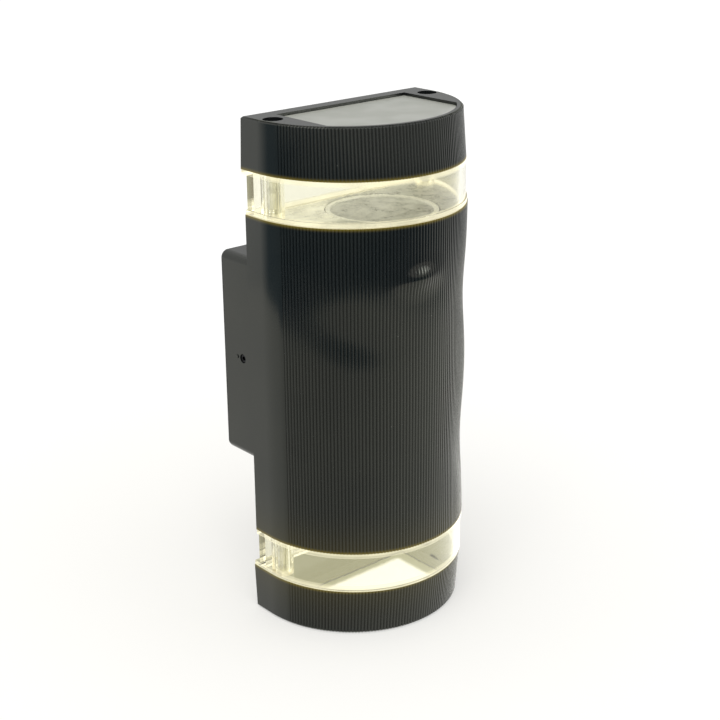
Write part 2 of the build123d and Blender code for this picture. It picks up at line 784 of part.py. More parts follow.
with BuildPart() as wall_bracket:
    with BuildSketch(Plane.XY.offset(-wall_bracket_height / 2)):
        Rectangle(2 * tab_outer_x, wall_bracket_tab_depth, align=(Align.CENTER, Align.MAX))
        with Locations((0, -bracket_sheet)):
            Rectangle(
                2 * (tab_outer_x - bracket_sheet),
                wall_bracket_tab_depth,
                align=(Align.CENTER, Align.MAX),
                mode=Mode.SUBTRACT,
            )
    extrude(amount=wall_bracket_height)
    bend_edges = wall_bracket.edges().filter_by(Axis.Z).group_by(Axis.Y)[-1]
    fillet(bend_edges, bend_radius)
    with BuildSketch(Plane.YZ.offset(-tab_outer_x)):
        for side in (-1, 1):
            with Locations((-wall_bracket_tab_root, side * wall_bracket_tab_width / 2)):
                Rectangle(
                    wall_bracket_tab_depth,
                    wall_bracket_height,
                    align=(Align.MAX, Align.MIN if side > 0 else Align.MAX),
                )
        with Locations((-grub_screw_setback, 0)):
            Circle(m4_radius + thread_gap)
    extrude(amount=2 * tab_outer_x, mode=Mode.SUBTRACT)
    with BuildSketch(Plane.XZ):
        Circle(cable_hole_radius)
        with Locations((-wall_slot_span / 2, 0), (wall_slot_span / 2, 0)):
            SlotOverall(wall_slot_length, wall_slot_width)
    extrude(amount=bracket_sheet, mode=Mode.SUBTRACT)
write(wall_bracket.part, "wall_bracket")


with BuildPart() as grub_screws:
    for side in (-1, 1):
        with BuildSketch(Plane.YZ.offset(side * (box_width / 2 - grub_screw_sink))):
            with Locations((-grub_screw_setback, 0)):
                Circle(m4_radius)
        extrude(amount=-side * grub_screw_length)
        with BuildSketch(Plane.YZ.offset(side * (box_width / 2 - grub_screw_sink))):
            with Locations((-grub_screw_setback, 0)):
                RegularPolygon(grub_socket_across / 2, 6, major_radius=False)
        extrude(amount=-side * grub_socket_depth, mode=Mode.SUBTRACT)
write(grub_screws.part, "grub_screws")


with BuildPart() as lead_grommet:
    with BuildSketch(Plane.XZ.offset(-box_floor_y - grommet_flange_thickness)):
        Circle(grommet_flange_radius)
    extrude(amount=grommet_flange_thickness)
    with BuildSketch(Plane.XZ.offset(-box_floor_y)):
        Circle(lead_hole_radius - grommet_gap)
    extrude(amount=box_wall + housing_wall)
    with BuildSketch(Plane.XZ.offset(-inner_back_y)):
        Circle(grommet_flange_radius)
    extrude(amount=grommet_flange_thickness)
    with BuildSketch(Plane.XZ.offset(-box_floor_y - grommet_flange_thickness)):
        Circle(grommet_bore_radius)
    extrude(amount=box_wall + housing_wall + 2 * grommet_flange_thickness, mode=Mode.SUBTRACT)
write(lead_grommet.part, "lead_grommet")


with BuildPart() as terminal_block:
    with BuildSketch(Plane.XZ.offset(-block_floor_y)):
        with Locations((0, block_mid_z)):
            Rectangle(block_width, block_height)
    extrude(amount=-block_depth)
    fillet(terminal_block.edges().filter_by(Axis.Y), block_corner_radius)
    with BuildSketch(Plane.XY.offset(block_lift)):
        with Locations(*[(x, insert_y) for x in pole_xs]):
            Circle(insert_radius + block_hole_gap)
    extrude(amount=block_height, mode=Mode.SUBTRACT)
    clamp_points = [(x, block_mid_z + side * clamp_screw_span / 2) for x in pole_xs for side in (-1, 1)]
    with BuildSketch(Plane.XZ.offset(-insert_y)):
        with Locations(*clamp_points):
            Circle(clamp_screw_radius + clamp_screw_gap)
    extrude(amount=-block_depth / 2, mode=Mode.SUBTRACT)
    with BuildSketch(Plane.XZ.offset(-block_floor_y)):
        with Locations(*[(x, block_mid_z) for x in block_screw_xs]):
            Circle(m3_radius + m3_clearance)
    extrude(amount=-block_depth, mode=Mode.SUBTRACT)
write(terminal_block.part, "terminal_block")


with BuildPart() as terminal_inserts:
    with BuildSketch(Plane.XY.offset(block_lift + insert_end_recess)):
        with Locations(*[(x, insert_y) for x in pole_xs]):
            Circle(insert_radius)
            Circle(insert_bore_radius, mode=Mode.SUBTRACT)
    extrude(amount=block_height - 2 * insert_end_recess)
    with BuildSketch(Plane.XZ.offset(-insert_y)):
        with Locations(*clamp_points):
            Circle(clamp_screw_radius + thread_gap)
    extrude(amount=-insert_radius, mode=Mode.SUBTRACT)
write(terminal_inserts.part, "terminal_inserts")


with BuildPart() as clamp_screws:
    with BuildSketch(Plane.XZ.offset(-insert_y - insert_bore_radius)):
        with Locations(*clamp_points):
            Circle(clamp_screw_radius)
    extrude(amount=-(block_depth / 2 - insert_bore_radius - clamp_screw_top_room))
    with BuildSketch(Plane.XZ.offset(-insert_y - block_depth / 2 + clamp_screw_top_room)):
        with Locations(*clamp_points):
            Rectangle(2 * clamp_screw_radius, clamp_screw_slot_width)
    extrude(amount=driver_slot_depth, mode=Mode.SUBTRACT)
write(clamp_screws.part, "clamp_screws")


with BuildPart() as block_screws:
    block_face_y = block_floor_y + block_depth
    with BuildSketch(Plane.XZ.offset(-block_face_y)):
        with Locations(*[(x, block_mid_z) for x in block_screw_xs]):
            Circle(m3_radius)
    extrude(amount=block_depth + block_screw_grip - screw_tip_gap)
    with BuildSketch(Plane.XZ.offset(-block_face_y)):
        with Locations(*[(x, block_mid_z) for x in block_screw_xs]):
            Circle(m3_head_radius)
    extrude(amount=-m3_head_height)
    with BuildSketch(Plane.XZ.offset(-block_face_y - m3_head_height)):
        with Locations(*[(x, block_mid_z) for x in block_screw_xs]):
            Rectangle(2 * m3_head_radius, driver_slot_width)
    extrude(amount=driver_slot_depth, mode=Mode.SUBTRACT)
write(block_screws.part, "block_screws")


def lead_route(side, end):
    """A lead from its contact, through the grommet and up into its terminal."""
    pin_x = side * pin_spacing / 2
    hole_x = side * lead_side_step
    terminal_x = side * pole_pitch
    terminal_y = insert_y - end * lead_pair_step
    turn_y = box_floor_y + lead_turn_setback - end * lead_side_step
    return [
        (pin_x, lamp_y, end * contact_foot_z),
        (pin_x, lamp_y, end * (holder_foot_z - lead_drop)),
        (hole_x, lamp_bracket_back_y, end * lead_side_step),
        (hole_x, turn_y, end * lead_side_step),
        (terminal_x, terminal_y, block_lift / 2),
        (terminal_x, terminal_y, block_lift + insert_end_recess + lead_strip),
    ]


def bend_radii(route):
    """The radius at each corner, from the shorter run beside it."""
    points = [Vector(*point) for point in route]
    radii = []
    for before, corner, after in zip(points, points[1:], points[2:]):
        turn = (corner - before).get_angle(after - corner)
        shorter = min((corner - before).length, (after - corner).length)
        radii.append(lead_bend_share * shorter / tan(radians(turn / 2)))
    return radii


for end, end_name in ((1, "upper"), (-1, "lower")):
    with BuildPart() as lamp_leads:
        for side in (-1, 1):
            route = lead_route(side, end)
            radii = bend_radii(route)
            with BuildLine() as path:
                FilletPolyline(*route, radius=radii)
            with BuildSketch(Plane(origin=route[0], z_dir=(0, 0, -end))):
                Circle(lead_radius)
            sweep(path=path.wire())
            lead_length = path.wire().length
            print(f"{end_name} lead {side}: {lead_length:.1f} long, bend radii", [round(r, 1) for r in radii])
    write(lamp_leads.part, f"{end_name}_lamp_leads")
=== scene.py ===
"""Looks of a half-round up and down wall light, laid round its construction model.

Metres. +Z is up, the front of the light looks along -Y, and the origin is the centre of the cable
hole in the face that lies against the wall.
"""
import json
from math import cos, pi, radians, sin

import bmesh
import bpy
from bpy.props import FloatProperty, FloatVectorProperty, IntProperty, PointerProperty
from mathutils import Matrix, Vector

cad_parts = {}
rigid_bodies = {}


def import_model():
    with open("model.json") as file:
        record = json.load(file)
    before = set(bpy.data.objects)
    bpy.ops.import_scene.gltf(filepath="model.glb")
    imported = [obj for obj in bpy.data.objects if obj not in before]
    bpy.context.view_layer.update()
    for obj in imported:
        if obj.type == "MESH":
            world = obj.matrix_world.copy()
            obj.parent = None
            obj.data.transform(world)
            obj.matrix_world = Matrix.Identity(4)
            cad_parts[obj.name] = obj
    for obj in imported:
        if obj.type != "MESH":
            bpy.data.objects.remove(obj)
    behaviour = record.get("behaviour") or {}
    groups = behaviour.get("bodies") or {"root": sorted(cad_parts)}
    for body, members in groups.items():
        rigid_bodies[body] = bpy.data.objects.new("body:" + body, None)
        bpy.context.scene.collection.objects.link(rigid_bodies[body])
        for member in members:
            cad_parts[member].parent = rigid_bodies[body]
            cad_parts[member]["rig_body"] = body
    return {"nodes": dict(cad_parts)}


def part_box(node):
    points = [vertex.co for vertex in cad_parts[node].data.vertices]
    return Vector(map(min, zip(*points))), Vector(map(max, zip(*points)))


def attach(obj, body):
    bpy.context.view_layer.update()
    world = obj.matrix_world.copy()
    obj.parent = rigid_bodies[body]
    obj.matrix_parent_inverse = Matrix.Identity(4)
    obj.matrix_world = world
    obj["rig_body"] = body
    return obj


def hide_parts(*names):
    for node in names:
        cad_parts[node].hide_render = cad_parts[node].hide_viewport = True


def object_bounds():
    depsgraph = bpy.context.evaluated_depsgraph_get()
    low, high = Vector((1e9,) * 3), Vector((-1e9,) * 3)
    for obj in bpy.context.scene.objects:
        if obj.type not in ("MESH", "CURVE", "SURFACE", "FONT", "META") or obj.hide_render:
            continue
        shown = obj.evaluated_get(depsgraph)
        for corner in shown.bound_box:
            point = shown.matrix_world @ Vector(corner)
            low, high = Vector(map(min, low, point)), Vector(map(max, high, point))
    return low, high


bl_info = {
    "name": "Half-round wall light",
    "version": (1, 0, 0),
    "blender": (4, 5, 0),
    "location": "View3D > Sidebar > Wall light",
    "description": "Dresses the construction model of an up and down wall light",
    "category": "Object",
}

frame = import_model()
cad_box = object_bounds()

MM = 0.001
MERGE_DISTANCE = 0.001 * MM
FLAT_ANGLE = radians(0.5)
SHARP_ANGLE = radians(32)
PROFILE_SEGMENTS = 24
SENSOR_WIDTH = 36.0
RIB_DEPTH = 0.5 * MM
GROOVE_LIMIT = 1.8 * RIB_DEPTH
# Painted shade in the rib grooves: near black, and made metallic there so that the grooves lose their gloss
# too.
GROOVE_SHADE = (0.003, 0.003, 0.003)
UNLIT = (0.0, 0.0, 0.0)

# The round front of a cap, in millimetres: its radius at the foot, and how far it narrows and sets back.
CAP_FOOT_RADIUS = 52.1
CAP_NARROWS = 0.9
CAP_SETS_BACK = 2.0

# A cap's chamfer, the depth of its ribs' zone, its shell, the wall round a screw and the sunk window.
CAP_CHAMFER = 0.8 * MM
CAP_RIB_ZONE = 2.2 * MM
CAP_WALL = 2.5 * MM
RECESS_WALL = 1.0 * MM
WINDOW_DEPTH = 2.6 * MM

# The studio's floor and the table that gloss shows: their places under the light, and their fades.
FLOOR_GAP = 0.1 * MM
TABLE_GAP = 0.05 * MM
SHADE_START = 80 * MM
FAR_GLOW = 0.9
TABLE_SIDE_SHARE = 1.6
TABLE_FRONT_SHARE = 1.3

housing_low, housing_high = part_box("body_housing")
housing_radius = (housing_high.x - housing_low.x) / 2
front_centre_y = housing_low.y + housing_radius
cap_low, cap_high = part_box("upper_cap")
band_low, band_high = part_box("upper_clear_band")


class StudioSettings(bpy.types.PropertyGroup):
    """The camera, the floor and the light."""

    camera_place: FloatVectorProperty(
        name="Camera place", description="Where the camera stands",
        default=(-0.424058, -0.547159, 0.243050), size=3, subtype="XYZ", unit="LENGTH")
    camera_turn: FloatProperty(
        name="Camera turn", description="Turn of the view about the vertical, to the left of the front",
        default=radians(39.0019), unit="ROTATION")
    camera_tilt: FloatProperty(
        name="Camera tilt", description="How far the view looks down", default=radians(20.4512),
        unit="ROTATION")
    camera_roll: FloatProperty(
        name="Camera roll", description="Roll of the camera about its view", default=radians(-1.0118),
        unit="ROTATION")
    focal_length: FloatProperty(
        name="Focal length", description="For a sensor 36 mm wide", default=73.714, unit="CAMERA")
    shift: FloatProperty(
        name="Shift", description="Sideways shift of the frame, as a share of its width", default=0.0556)
    floor_size: FloatProperty(
        name="Floor size", description="Side of the square floor", default=12.0, unit="LENGTH")
    floor_glow: FloatProperty(
        name="Floor glow", description="How far the floor's own white fills its shadow", default=0.36,
        subtype="FACTOR")
    floor_colour: FloatVectorProperty(
        name="Floor colour", description="Colour of the floor that takes the shadow",
        default=(0.90, 0.885, 0.83), size=3, subtype="COLOR")
    floor_white: FloatVectorProperty(
        name="Floor white", description="The floor's own white", default=(1.0, 1.0, 0.995), size=3,
        subtype="COLOR")
    floor_level: FloatProperty(
        name="Floor level", description="Strength of the floor's own white", default=1.12)
    shade_reach: FloatProperty(
        name="Shade reach", description="How far from the light the floor keeps its shade", default=0.42,
        unit="LENGTH")
    sky_level: FloatProperty(
        name="Sky level", description="Strength of the white surround as a light", default=0.8)
    lamp_power: FloatProperty(
        name="Lamp power", description="Watts of the soft lamp overhead", default=9.0)
    lamp_size: FloatProperty(
        name="Lamp size", description="Side of the soft lamp", default=0.9, unit="LENGTH")
    lamp_place: FloatVectorProperty(
        name="Lamp place", description="Where the soft lamp hangs", default=(-0.5, -0.5, 1.4), size=3,
        subtype="XYZ", unit="LENGTH")
    dark_side_reach: FloatProperty(
        name="Dark reach, side", description="How far to the sides the white table ends", default=0.47,
        unit="LENGTH")
    dark_front_reach: FloatProperty(
        name="Dark reach, front", description="How far to the front the white table ends", default=0.60,
        unit="LENGTH")
    dark_outer_reach: FloatProperty(
        name="Dark outer reach", description="Where the dark room beyond the table ends", default=3.0,
        unit="LENGTH")
    dark_colour: FloatVectorProperty(
        name="Dark colour", description="Colour of the dark room in gloss", default=(0.15, 0.23, 0.28),
        size=3, subtype="COLOR")
    dark_start: FloatProperty(
        name="Dark start", description="Where the dark room starts, round from the right",
        default=radians(131), unit="ROTATION")
    dark_end: FloatProperty(
        name="Dark end", description="Where the dark room ends, round from the right", default=radians(306),
        unit="ROTATION")
    dark_soft: FloatProperty(
        name="Dark softness", description="How softly the dark room starts and ends", default=radians(14),
        unit="ROTATION")
    dim_turn: FloatProperty(
        name="Dim turn", description="Where gloss shows the table at its dimmest, round from the right",
        default=radians(235), unit="ROTATION")
    bright_turn: FloatProperty(
        name="Bright turn", description="Where gloss shows the table at its brightest, round from the right",
        default=radians(320), unit="ROTATION")
    back_turn: FloatProperty(
        name="Back turn", description="Where the table brightens again behind the light",
        default=radians(125), unit="ROTATION")
    table_colour: FloatVectorProperty(
        name="Table colour", description="Colour of the table in gloss", default=(1.0, 0.99, 0.95), size=3,
        subtype="COLOR")
    back_level: FloatProperty(
        name="Back level", description="Level of the table there in gloss", default=1.02)
    dim_level: FloatProperty(
        name="Dim level", description="Dimmest level of the table in gloss", default=0.84)
    bright_level: FloatProperty(
        name="Bright level", description="Brightest level of the table in gloss", default=2.2)
    softbox_place: FloatVectorProperty(
        name="Softbox place", description="Middle of the softbox's window", default=(1.06, -1.70, 0.62),
        size=3, subtype="XYZ", unit="LENGTH")
    softbox_width: FloatProperty(
        name="Softbox width", description="Width of the softbox's window", default=1.3, unit="LENGTH")
    softbox_height: FloatProperty(
        name="Softbox height", description="Height of the softbox's window", default=0.8, unit="LENGTH")
    softbox_level: FloatProperty(
        name="Softbox level", description="Brightness of the softbox in gloss", default=7.0)


class HousingSettings(bpy.types.PropertyGroup):
    """The ribs and the dents of the moulded housing."""

    rib_count: IntProperty(name="Ribs", description="Ribs round the front", default=88, min=8)
    plain_side_angle: FloatProperty(
        name="Plain side", description="Plain part of each side before the ribs start", default=radians(14),
        unit="ROTATION")
    land_width: FloatProperty(
        name="Land width", description="Width of the flat top of each rib", default=0.84 * MM,
        unit="LENGTH", precision=5)
    land_depth: FloatProperty(
        name="Land depth", description="Depth of the finished top of each rib", default=0.4 * MM,
        unit="LENGTH", precision=5)
    land_proud: FloatProperty(
        name="Land proud", description="How far that top stands out of the moulded rib", default=0.12 * MM,
        unit="LENGTH", precision=5)
    shoulder: FloatProperty(
        name="Shoulder", description="Radius of the soft shoulders of a rib", default=0.13 * MM,
        unit="LENGTH", precision=5)
    land_end_gap: FloatProperty(
        name="Land end gap", description="Rib left without its finished top at each end", default=0.15 * MM,
        unit="LENGTH", precision=5)
    slice_height: FloatProperty(
        name="Slice height", description="Height of the slices that let the wall bend", default=1.5 * MM,
        unit="LENGTH", precision=5)
    dent_angles: FloatVectorProperty(
        name="Dent angles", description="Where each dent lies, round the front from the right side",
        default=(radians(126), radians(46), radians(46), radians(95)), size=4)
    dent_heights: FloatVectorProperty(
        name="Dent heights", description="Height of the middle of each dent",
        default=(27 * MM, 34 * MM, -37 * MM, 52.4 * MM), size=4, precision=4)
    dent_half_widths: FloatVectorProperty(
        name="Dent half widths", description="Half width of each dent along the wall",
        default=(21 * MM, 20 * MM, 20 * MM, 8.5 * MM), size=4, precision=4)
    dent_half_heights: FloatVectorProperty(
        name="Dent half heights", description="Half height of each dent",
        default=(13 * MM, 20 * MM, 24 * MM, 4.8 * MM), size=4, precision=4)
    dent_tilts: FloatVectorProperty(
        name="Dent tilts", description="How far each dent's long way climbs to the left",
        default=(radians(20), 0.0, 0.0, radians(-6)), size=4)
    dent_depths: FloatVectorProperty(
        name="Dent depths", description="Depth of each dent, or of a bulge where it is below nothing",
        default=(0.7 * MM, 1.5 * MM, 1.7 * MM, -1.75 * MM), size=4, precision=5)


class GlowSettings(bpy.types.PropertyGroup):
    """The lamps' light in the clear parts."""

    lens_strength: FloatProperty(name="Lens", description="Glow of the lamps' lenses", default=0.05)
    lens_colour: FloatVectorProperty(
        name="Lens colour", description="Colour of the lamps' light", default=(1.0, 0.93, 0.74), size=3,
        subtype="COLOR")
    rim_colour: FloatVectorProperty(
        name="Rim colour", description="Light that comes out of the clear bands' rims",
        default=(0.42, 0.395, 0.285), size=3, subtype="COLOR")
    inside_colour: FloatVectorProperty(
        name="Inside colour", description="Lamplight on the inside of the caps and on the lower glass",
        default=(0.34, 0.33, 0.21), size=3, subtype="COLOR")
    fringe_colour: FloatVectorProperty(
        name="Fringe colour", description="Light that the rims throw on the plastic beside them",
        default=(0.17, 0.125, 0.01), size=3, subtype="COLOR")
    fringe_reach: FloatProperty(
        name="Fringe reach", description="How far that light reaches", default=2.0 * MM, unit="LENGTH",
        precision=5)
    haze_colour: FloatVectorProperty(
        name="Haze colour", description="Light scattered in the clear bands", default=(0.035, 0.032, 0.018),
        size=3, subtype="COLOR")
    corner_colour: FloatVectorProperty(
        name="Corner colour", description="Light that comes out of the clear bands' back corners",
        default=(0.15, 0.145, 0.09), size=3, subtype="COLOR")
    corner_reach: FloatProperty(
        name="Corner reach", description="How far those corners reach from the back", default=6.5 * MM,
        unit="LENGTH", precision=5)
    shell_colour: FloatVectorProperty(
        name="Shell colour", description="Lamplight on the lamp shells", default=(0.38, 0.37, 0.31),
        size=3, subtype="COLOR")
    spill_colour: FloatVectorProperty(
        name="Spill colour", description="Wide glow of the lower band on the plastic round it",
        default=(0.018, 0.0135, 0.0), size=3, subtype="COLOR")
    spill_reach: FloatProperty(
        name="Spill reach", description="How far that glow reaches", default=24 * MM, unit="LENGTH",
        precision=4)
    # Painted lamplight: a bright patch on the reflector plates.
    lamplight_patch_colour: FloatVectorProperty(
        name="Patch colour", description="Bright patch on the reflector plates", default=(0.46, 0.44, 0.33),
        size=3, subtype="COLOR")
    rim_height: FloatProperty(
        name="Rim height", description="Height of the glowing rims of a clear band", default=2.2 * MM,
        unit="LENGTH", precision=5)
    pool_half_width: FloatProperty(
        name="Pool half width", description="Half width of the bright patch on the lower glass",
        default=28.5 * MM, unit="LENGTH", precision=4)
    pool_colour: FloatVectorProperty(
        name="Pool colour", description="Colour of that bright patch", default=(1.0, 0.98, 0.90), size=3,
        subtype="COLOR")
    pool_back: FloatProperty(
        name="Pool back", description="Where that bright patch ends towards the wall", default=-49.2 * MM,
        unit="LENGTH", precision=4)


class FinishSettings(bpy.types.PropertyGroup):
    """Base colours of the finishes."""

    black_plastic: FloatVectorProperty(
        name="Black plastic", description="Housing, caps and wall box", default=(0.0085, 0.0100, 0.0108),
        size=3, subtype="COLOR")
    black_gloss: FloatVectorProperty(
        name="Black gloss", description="Tint of the black plastic's gloss", default=(0.97, 1.0, 0.86, 1.0),
        size=4, subtype="COLOR")
    black_top_roughness: FloatProperty(
        name="Top roughness", description="Roughness of the black plastic where dust lies", default=0.42,
        subtype="FACTOR")
    black_bloom: FloatVectorProperty(
        name="Black bloom", description="Greyer patches in the black plastic",
        default=(0.0115, 0.0128, 0.0126), size=3, subtype="COLOR")
    dust: FloatVectorProperty(
        name="Dust", description="Dust that has settled", default=(0.34, 0.34, 0.31), size=3, subtype="COLOR")
    clear_plastic: FloatVectorProperty(
        name="Clear plastic", description="Clear bands", default=(0.90, 0.895, 0.82), size=3, subtype="COLOR")
    # Painted shade: the right ends of the clear bands are tinted darker, for the darker view through the most
    # plastic.
    clear_end_shade: FloatVectorProperty(
        name="Clear end", description="Right ends of the clear bands, seen through the most plastic",
        default=(0.40, 0.395, 0.31), size=3, subtype="COLOR")
    # The rims' cream tint goes with their painted glow, and the back corners take it at half strength.
    clear_rim: FloatVectorProperty(
        name="Clear rim", description="Rims of the clear bands, and half as bright their back corners",
        default=(0.42, 0.41, 0.34), size=3, subtype="COLOR")
    clear_back: FloatVectorProperty(
        name="Clear back", description="Back wall of the clear bands, which the wall box shades",
        default=(0.70, 0.69, 0.60), size=3, subtype="COLOR")
    etched_glass: FloatVectorProperty(
        name="Etched glass", description="Window glass", default=(0.295, 0.305, 0.26), size=3,
        subtype="COLOR")
    etched_border: FloatVectorProperty(
        name="Etched border", description="Border of the window glass over its bed",
        default=(0.39, 0.395, 0.35), size=3, subtype="COLOR")
    reflector: FloatVectorProperty(
        name="Reflector", description="Mottled plate round each lamp", default=(0.60, 0.60, 0.53), size=3,
        subtype="COLOR")
    zinc: FloatVectorProperty(
        name="Zinc", description="Zinc plated steel", default=(0.62, 0.63, 0.64), size=3, subtype="COLOR")
    cast_metal: FloatVectorProperty(
        name="Cast metal", description="Lamp shells", default=(0.48, 0.48, 0.43), size=3, subtype="COLOR")
    bright: FloatVectorProperty(
        name="Bright steel", description="Cap screws", default=(0.80, 0.79, 0.74), size=3, subtype="COLOR")
    blackened: FloatVectorProperty(
        name="Blackened steel", description="Grub screws", default=(0.03, 0.03, 0.032), size=3,
        subtype="COLOR")
    ceramic: FloatVectorProperty(
        name="Ceramic", description="Lampholders", default=(0.80, 0.78, 0.72), size=3, subtype="COLOR")
    brass: FloatVectorProperty(
        name="Brass", description="Contacts and terminal inserts", default=(0.78, 0.60, 0.30), size=3,
        subtype="COLOR")
    white_plastic: FloatVectorProperty(
        name="White plastic", description="Terminal block", default=(0.78, 0.78, 0.75), size=3,
        subtype="COLOR")
    silicone: FloatVectorProperty(
        name="Silicone", description="Bed of the window glass", default=(0.58, 0.58, 0.54), size=3,
        subtype="COLOR")
    rubber: FloatVectorProperty(
        name="Rubber", description="Seals and grommet", default=(0.022, 0.022, 0.022), size=3,
        subtype="COLOR")


def put(tree, kind, inputs=None, **settings):
    """A new node in a tree, with its settings made and its sockets set or linked."""
    node = tree.nodes.new(kind)
    for name, value in settings.items():
        setattr(node, name, value)
    for key, value in (inputs or {}).items():
        if isinstance(value, bpy.types.NodeSocket):
            tree.links.new(value, node.inputs[key])
        else:
            node.inputs[key].default_value = value
    return node


def out(tree, kind, inputs=None, **settings):
    """The first output of a new node."""
    return put(tree, kind, inputs, **settings).outputs[0]


def maths(tree, operation, *values):
    """The result of one sum on sockets or numbers."""
    return out(tree, "ShaderNodeMath", dict(enumerate(values)), operation=operation)


def plus(tree, first, second):
    """Two sockets or numbers added up."""
    return maths(tree, "ADD", first, second)


def minus(tree, first, second):
    """The second of two sockets or numbers taken from the first."""
    return maths(tree, "SUBTRACT", first, second)


def times(tree, first, *others):
    """The product of sockets or numbers."""
    for other in others:
        first = maths(tree, "MULTIPLY", first, other)
    return first


def mix_number(tree, share, first, second):
    """A number between two, by a share."""
    return out(tree, "ShaderNodeMix", {0: share, 2: first, 3: second})


def shaded(colour, share):
    """A colour made darker or paler by a share."""
    return [min(1.0, share * part) for part in colour]


def socket(tree, name, kind, way="INPUT", default=None):
    """A named socket on a node group."""
    made = tree.interface.new_socket(name=name, in_out=way, socket_type=f"NodeSocket{kind}")
    if default is not None:
        made.default_value = default
    return made


def mix_colour(tree, share, first, second):
    """A colour between two, by a share."""
    node = put(tree, "ShaderNodeMix", data_type="RGBA")
    for index, value in ((0, share), (6, first), (7, second)):
        if isinstance(value, bpy.types.NodeSocket):
            tree.links.new(value, node.inputs[index])
        else:
            node.inputs[index].default_value = value if index == 0 else (*value, 1.0)
    return node.outputs[2]


def ramp(tree, value, low=0.0, high=1.0, at_low=0.0, at_high=1.0):
    """A value stretched from one range to another and held in it."""
    return out(tree, "ShaderNodeMapRange", {0: value, 1: low, 2: high, 3: at_low, 4: at_high}, clamp=True)


def vector(tree, **parts):
    """A vector of the parts X, Y and Z that are given."""
    return out(tree, "ShaderNodeCombineXYZ", parts)


def object_place(tree):
    """X, Y and Z on the piece's own coordinates."""
    place = put(tree, "ShaderNodeTexCoord").outputs["Object"]
    return put(tree, "ShaderNodeSeparateXYZ", {0: place}).outputs


def mark_of(tree, name):
    """The value of a mark that a mesh carries."""
    return put(tree, "ShaderNodeAttribute", attribute_name=name).outputs["Fac"]


def object_cells(tree, size):
    """Cells on the piece's own coordinates of about a size in metres."""
    place = put(tree, "ShaderNodeTexCoord").outputs["Object"]
    scale = maths(tree, "DIVIDE", 1.0, size)
    return put(tree, "ShaderNodeTexVoronoi", {"Vector": place, "Scale": scale}, feature="F1").outputs


def shader_group(name, inputs, outputs):
    """An empty shader group with number inputs and the outputs it names, or None if it is made already."""
    if name in bpy.data.node_groups:
        return None
    tree = bpy.data.node_groups.new(name, "ShaderNodeTree")
    for label, default in inputs.items():
        socket(tree, label, "Float", default=default)
    for label in outputs:
        socket(tree, label, "Float", "OUTPUT")
    return tree


def object_noise(tree, size, detail, roughness=0.5):
    """Noise on the piece's own coordinates with blotches of about a size in metres."""
    place = put(tree, "ShaderNodeTexCoord").outputs["Object"]
    scale = maths(tree, "DIVIDE", 1.0, size)
    noise = put(tree, "ShaderNodeTexNoise",
                {"Vector": place, "Scale": scale, "Detail": detail, "Roughness": roughness})
    return noise.outputs["Fac"]


def moulded_surface_group():
    """Fine spark-eroded grain over the slow unevenness of a moulded wall."""
    tree = shader_group("Moulded surface",
                        {"Grain Size": 0.3 * MM, "Wave Size": 9 * MM, "Wave Share": 0.6},
                        ("Height", "Patches"))
    if tree:
        sizes = put(tree, "NodeGroupInput").outputs
        grain = object_noise(tree, sizes["Grain Size"], detail=3.0, roughness=0.65)
        waves = object_noise(tree, sizes["Wave Size"], detail=1.0)
        height = mix_number(tree, sizes["Wave Share"], grain, waves)
        patches = ramp(tree, waves, low=0.36, high=0.66)
        put(tree, "NodeGroupOutput", {"Height": height, "Patches": patches})
    return bpy.data.node_groups["Moulded surface"]


def settled_dust_group():
    """Sparse specks, and a thin haze that lies in patches and more on faces that look up."""
    tree = shader_group("Settled dust",
                        {"Speck Spacing": 7 * MM, "Speck Size": 0.035, "Haze Size": 14 * MM},
                        ("Specks", "Haze", "Upward"))
    if tree:
        sizes = put(tree, "NodeGroupInput").outputs
        cells = object_cells(tree, sizes["Speck Spacing"])
        specks = maths(tree, "LESS_THAN", cells["Distance"], sizes["Speck Size"])
        haze = object_noise(tree, sizes["Haze Size"], detail=4.0, roughness=0.6)
        patches = ramp(tree, haze, low=0.45, high=0.8)
        normal = put(tree, "ShaderNodeNewGeometry").outputs["Normal"]
        facing = put(tree, "ShaderNodeSeparateXYZ", {0: normal}).outputs
        upward = ramp(tree, facing["Z"], low=0.55)
        on_sides, more_on_top = 0.35, 0.65
        lying = maths(tree, "MULTIPLY_ADD", upward, more_on_top, on_sides)
        put(tree, "NodeGroupOutput",
            {"Specks": specks, "Haze": times(tree, patches, lying), "Upward": upward})
    return bpy.data.node_groups["Settled dust"]


def worn_edge_group():
    """Rubbed edges: the narrow rounded faces marked on a piece, broken up by noise."""
    tree = shader_group("Worn edges", {"Break Size": 2.5 * MM}, ("Wear",))
    if tree:
        sizes = put(tree, "NodeGroupInput").outputs
        broken = ramp(tree, object_noise(tree, sizes["Break Size"], detail=3.0), low=0.40, high=0.62)
        put(tree, "NodeGroupOutput", {"Wear": times(tree, mark_of(tree, "edge"), broken)})
    return bpy.data.node_groups["Worn edges"]


def mottled_metal_group():
    """Blotches and fine crystals of bright plated or cast metal."""
    tree = shader_group("Mottled metal", {"Blotch Size": 5 * MM, "Crystal Size": 1.2 * MM},
                        ("Blotches", "Crystals", "Height"))
    if tree:
        sizes = put(tree, "NodeGroupInput").outputs
        noise = object_noise(tree, sizes["Blotch Size"], detail=5.0, roughness=0.65)
        blotches = ramp(tree, noise, low=0.38, high=0.64)
        cells = object_cells(tree, sizes["Crystal Size"])
        crystals = out(tree, "ShaderNodeSeparateColor", {0: cells["Color"]})
        crystal_height = 0.5
        height = maths(tree, "MULTIPLY_ADD", cells["Distance"], crystal_height, blotches)
        put(tree, "NodeGroupOutput", {"Blotches": blotches, "Crystals": crystals, "Height": height})
    return bpy.data.node_groups["Mottled metal"]


def empty_material(name):
    """A material with an empty tree, and that tree."""
    material = bpy.data.materials.new(name)
    material.use_nodes = True
    material.node_tree.nodes.clear()
    return material, material.node_tree


def group(tree, made, **values):
    """A shader group placed in a material, with its values."""
    node = put(tree, "ShaderNodeGroup", node_tree=made)
    for name, value in values.items():
        node.inputs[name.replace("_", " ").title()].default_value = value
    return node.outputs


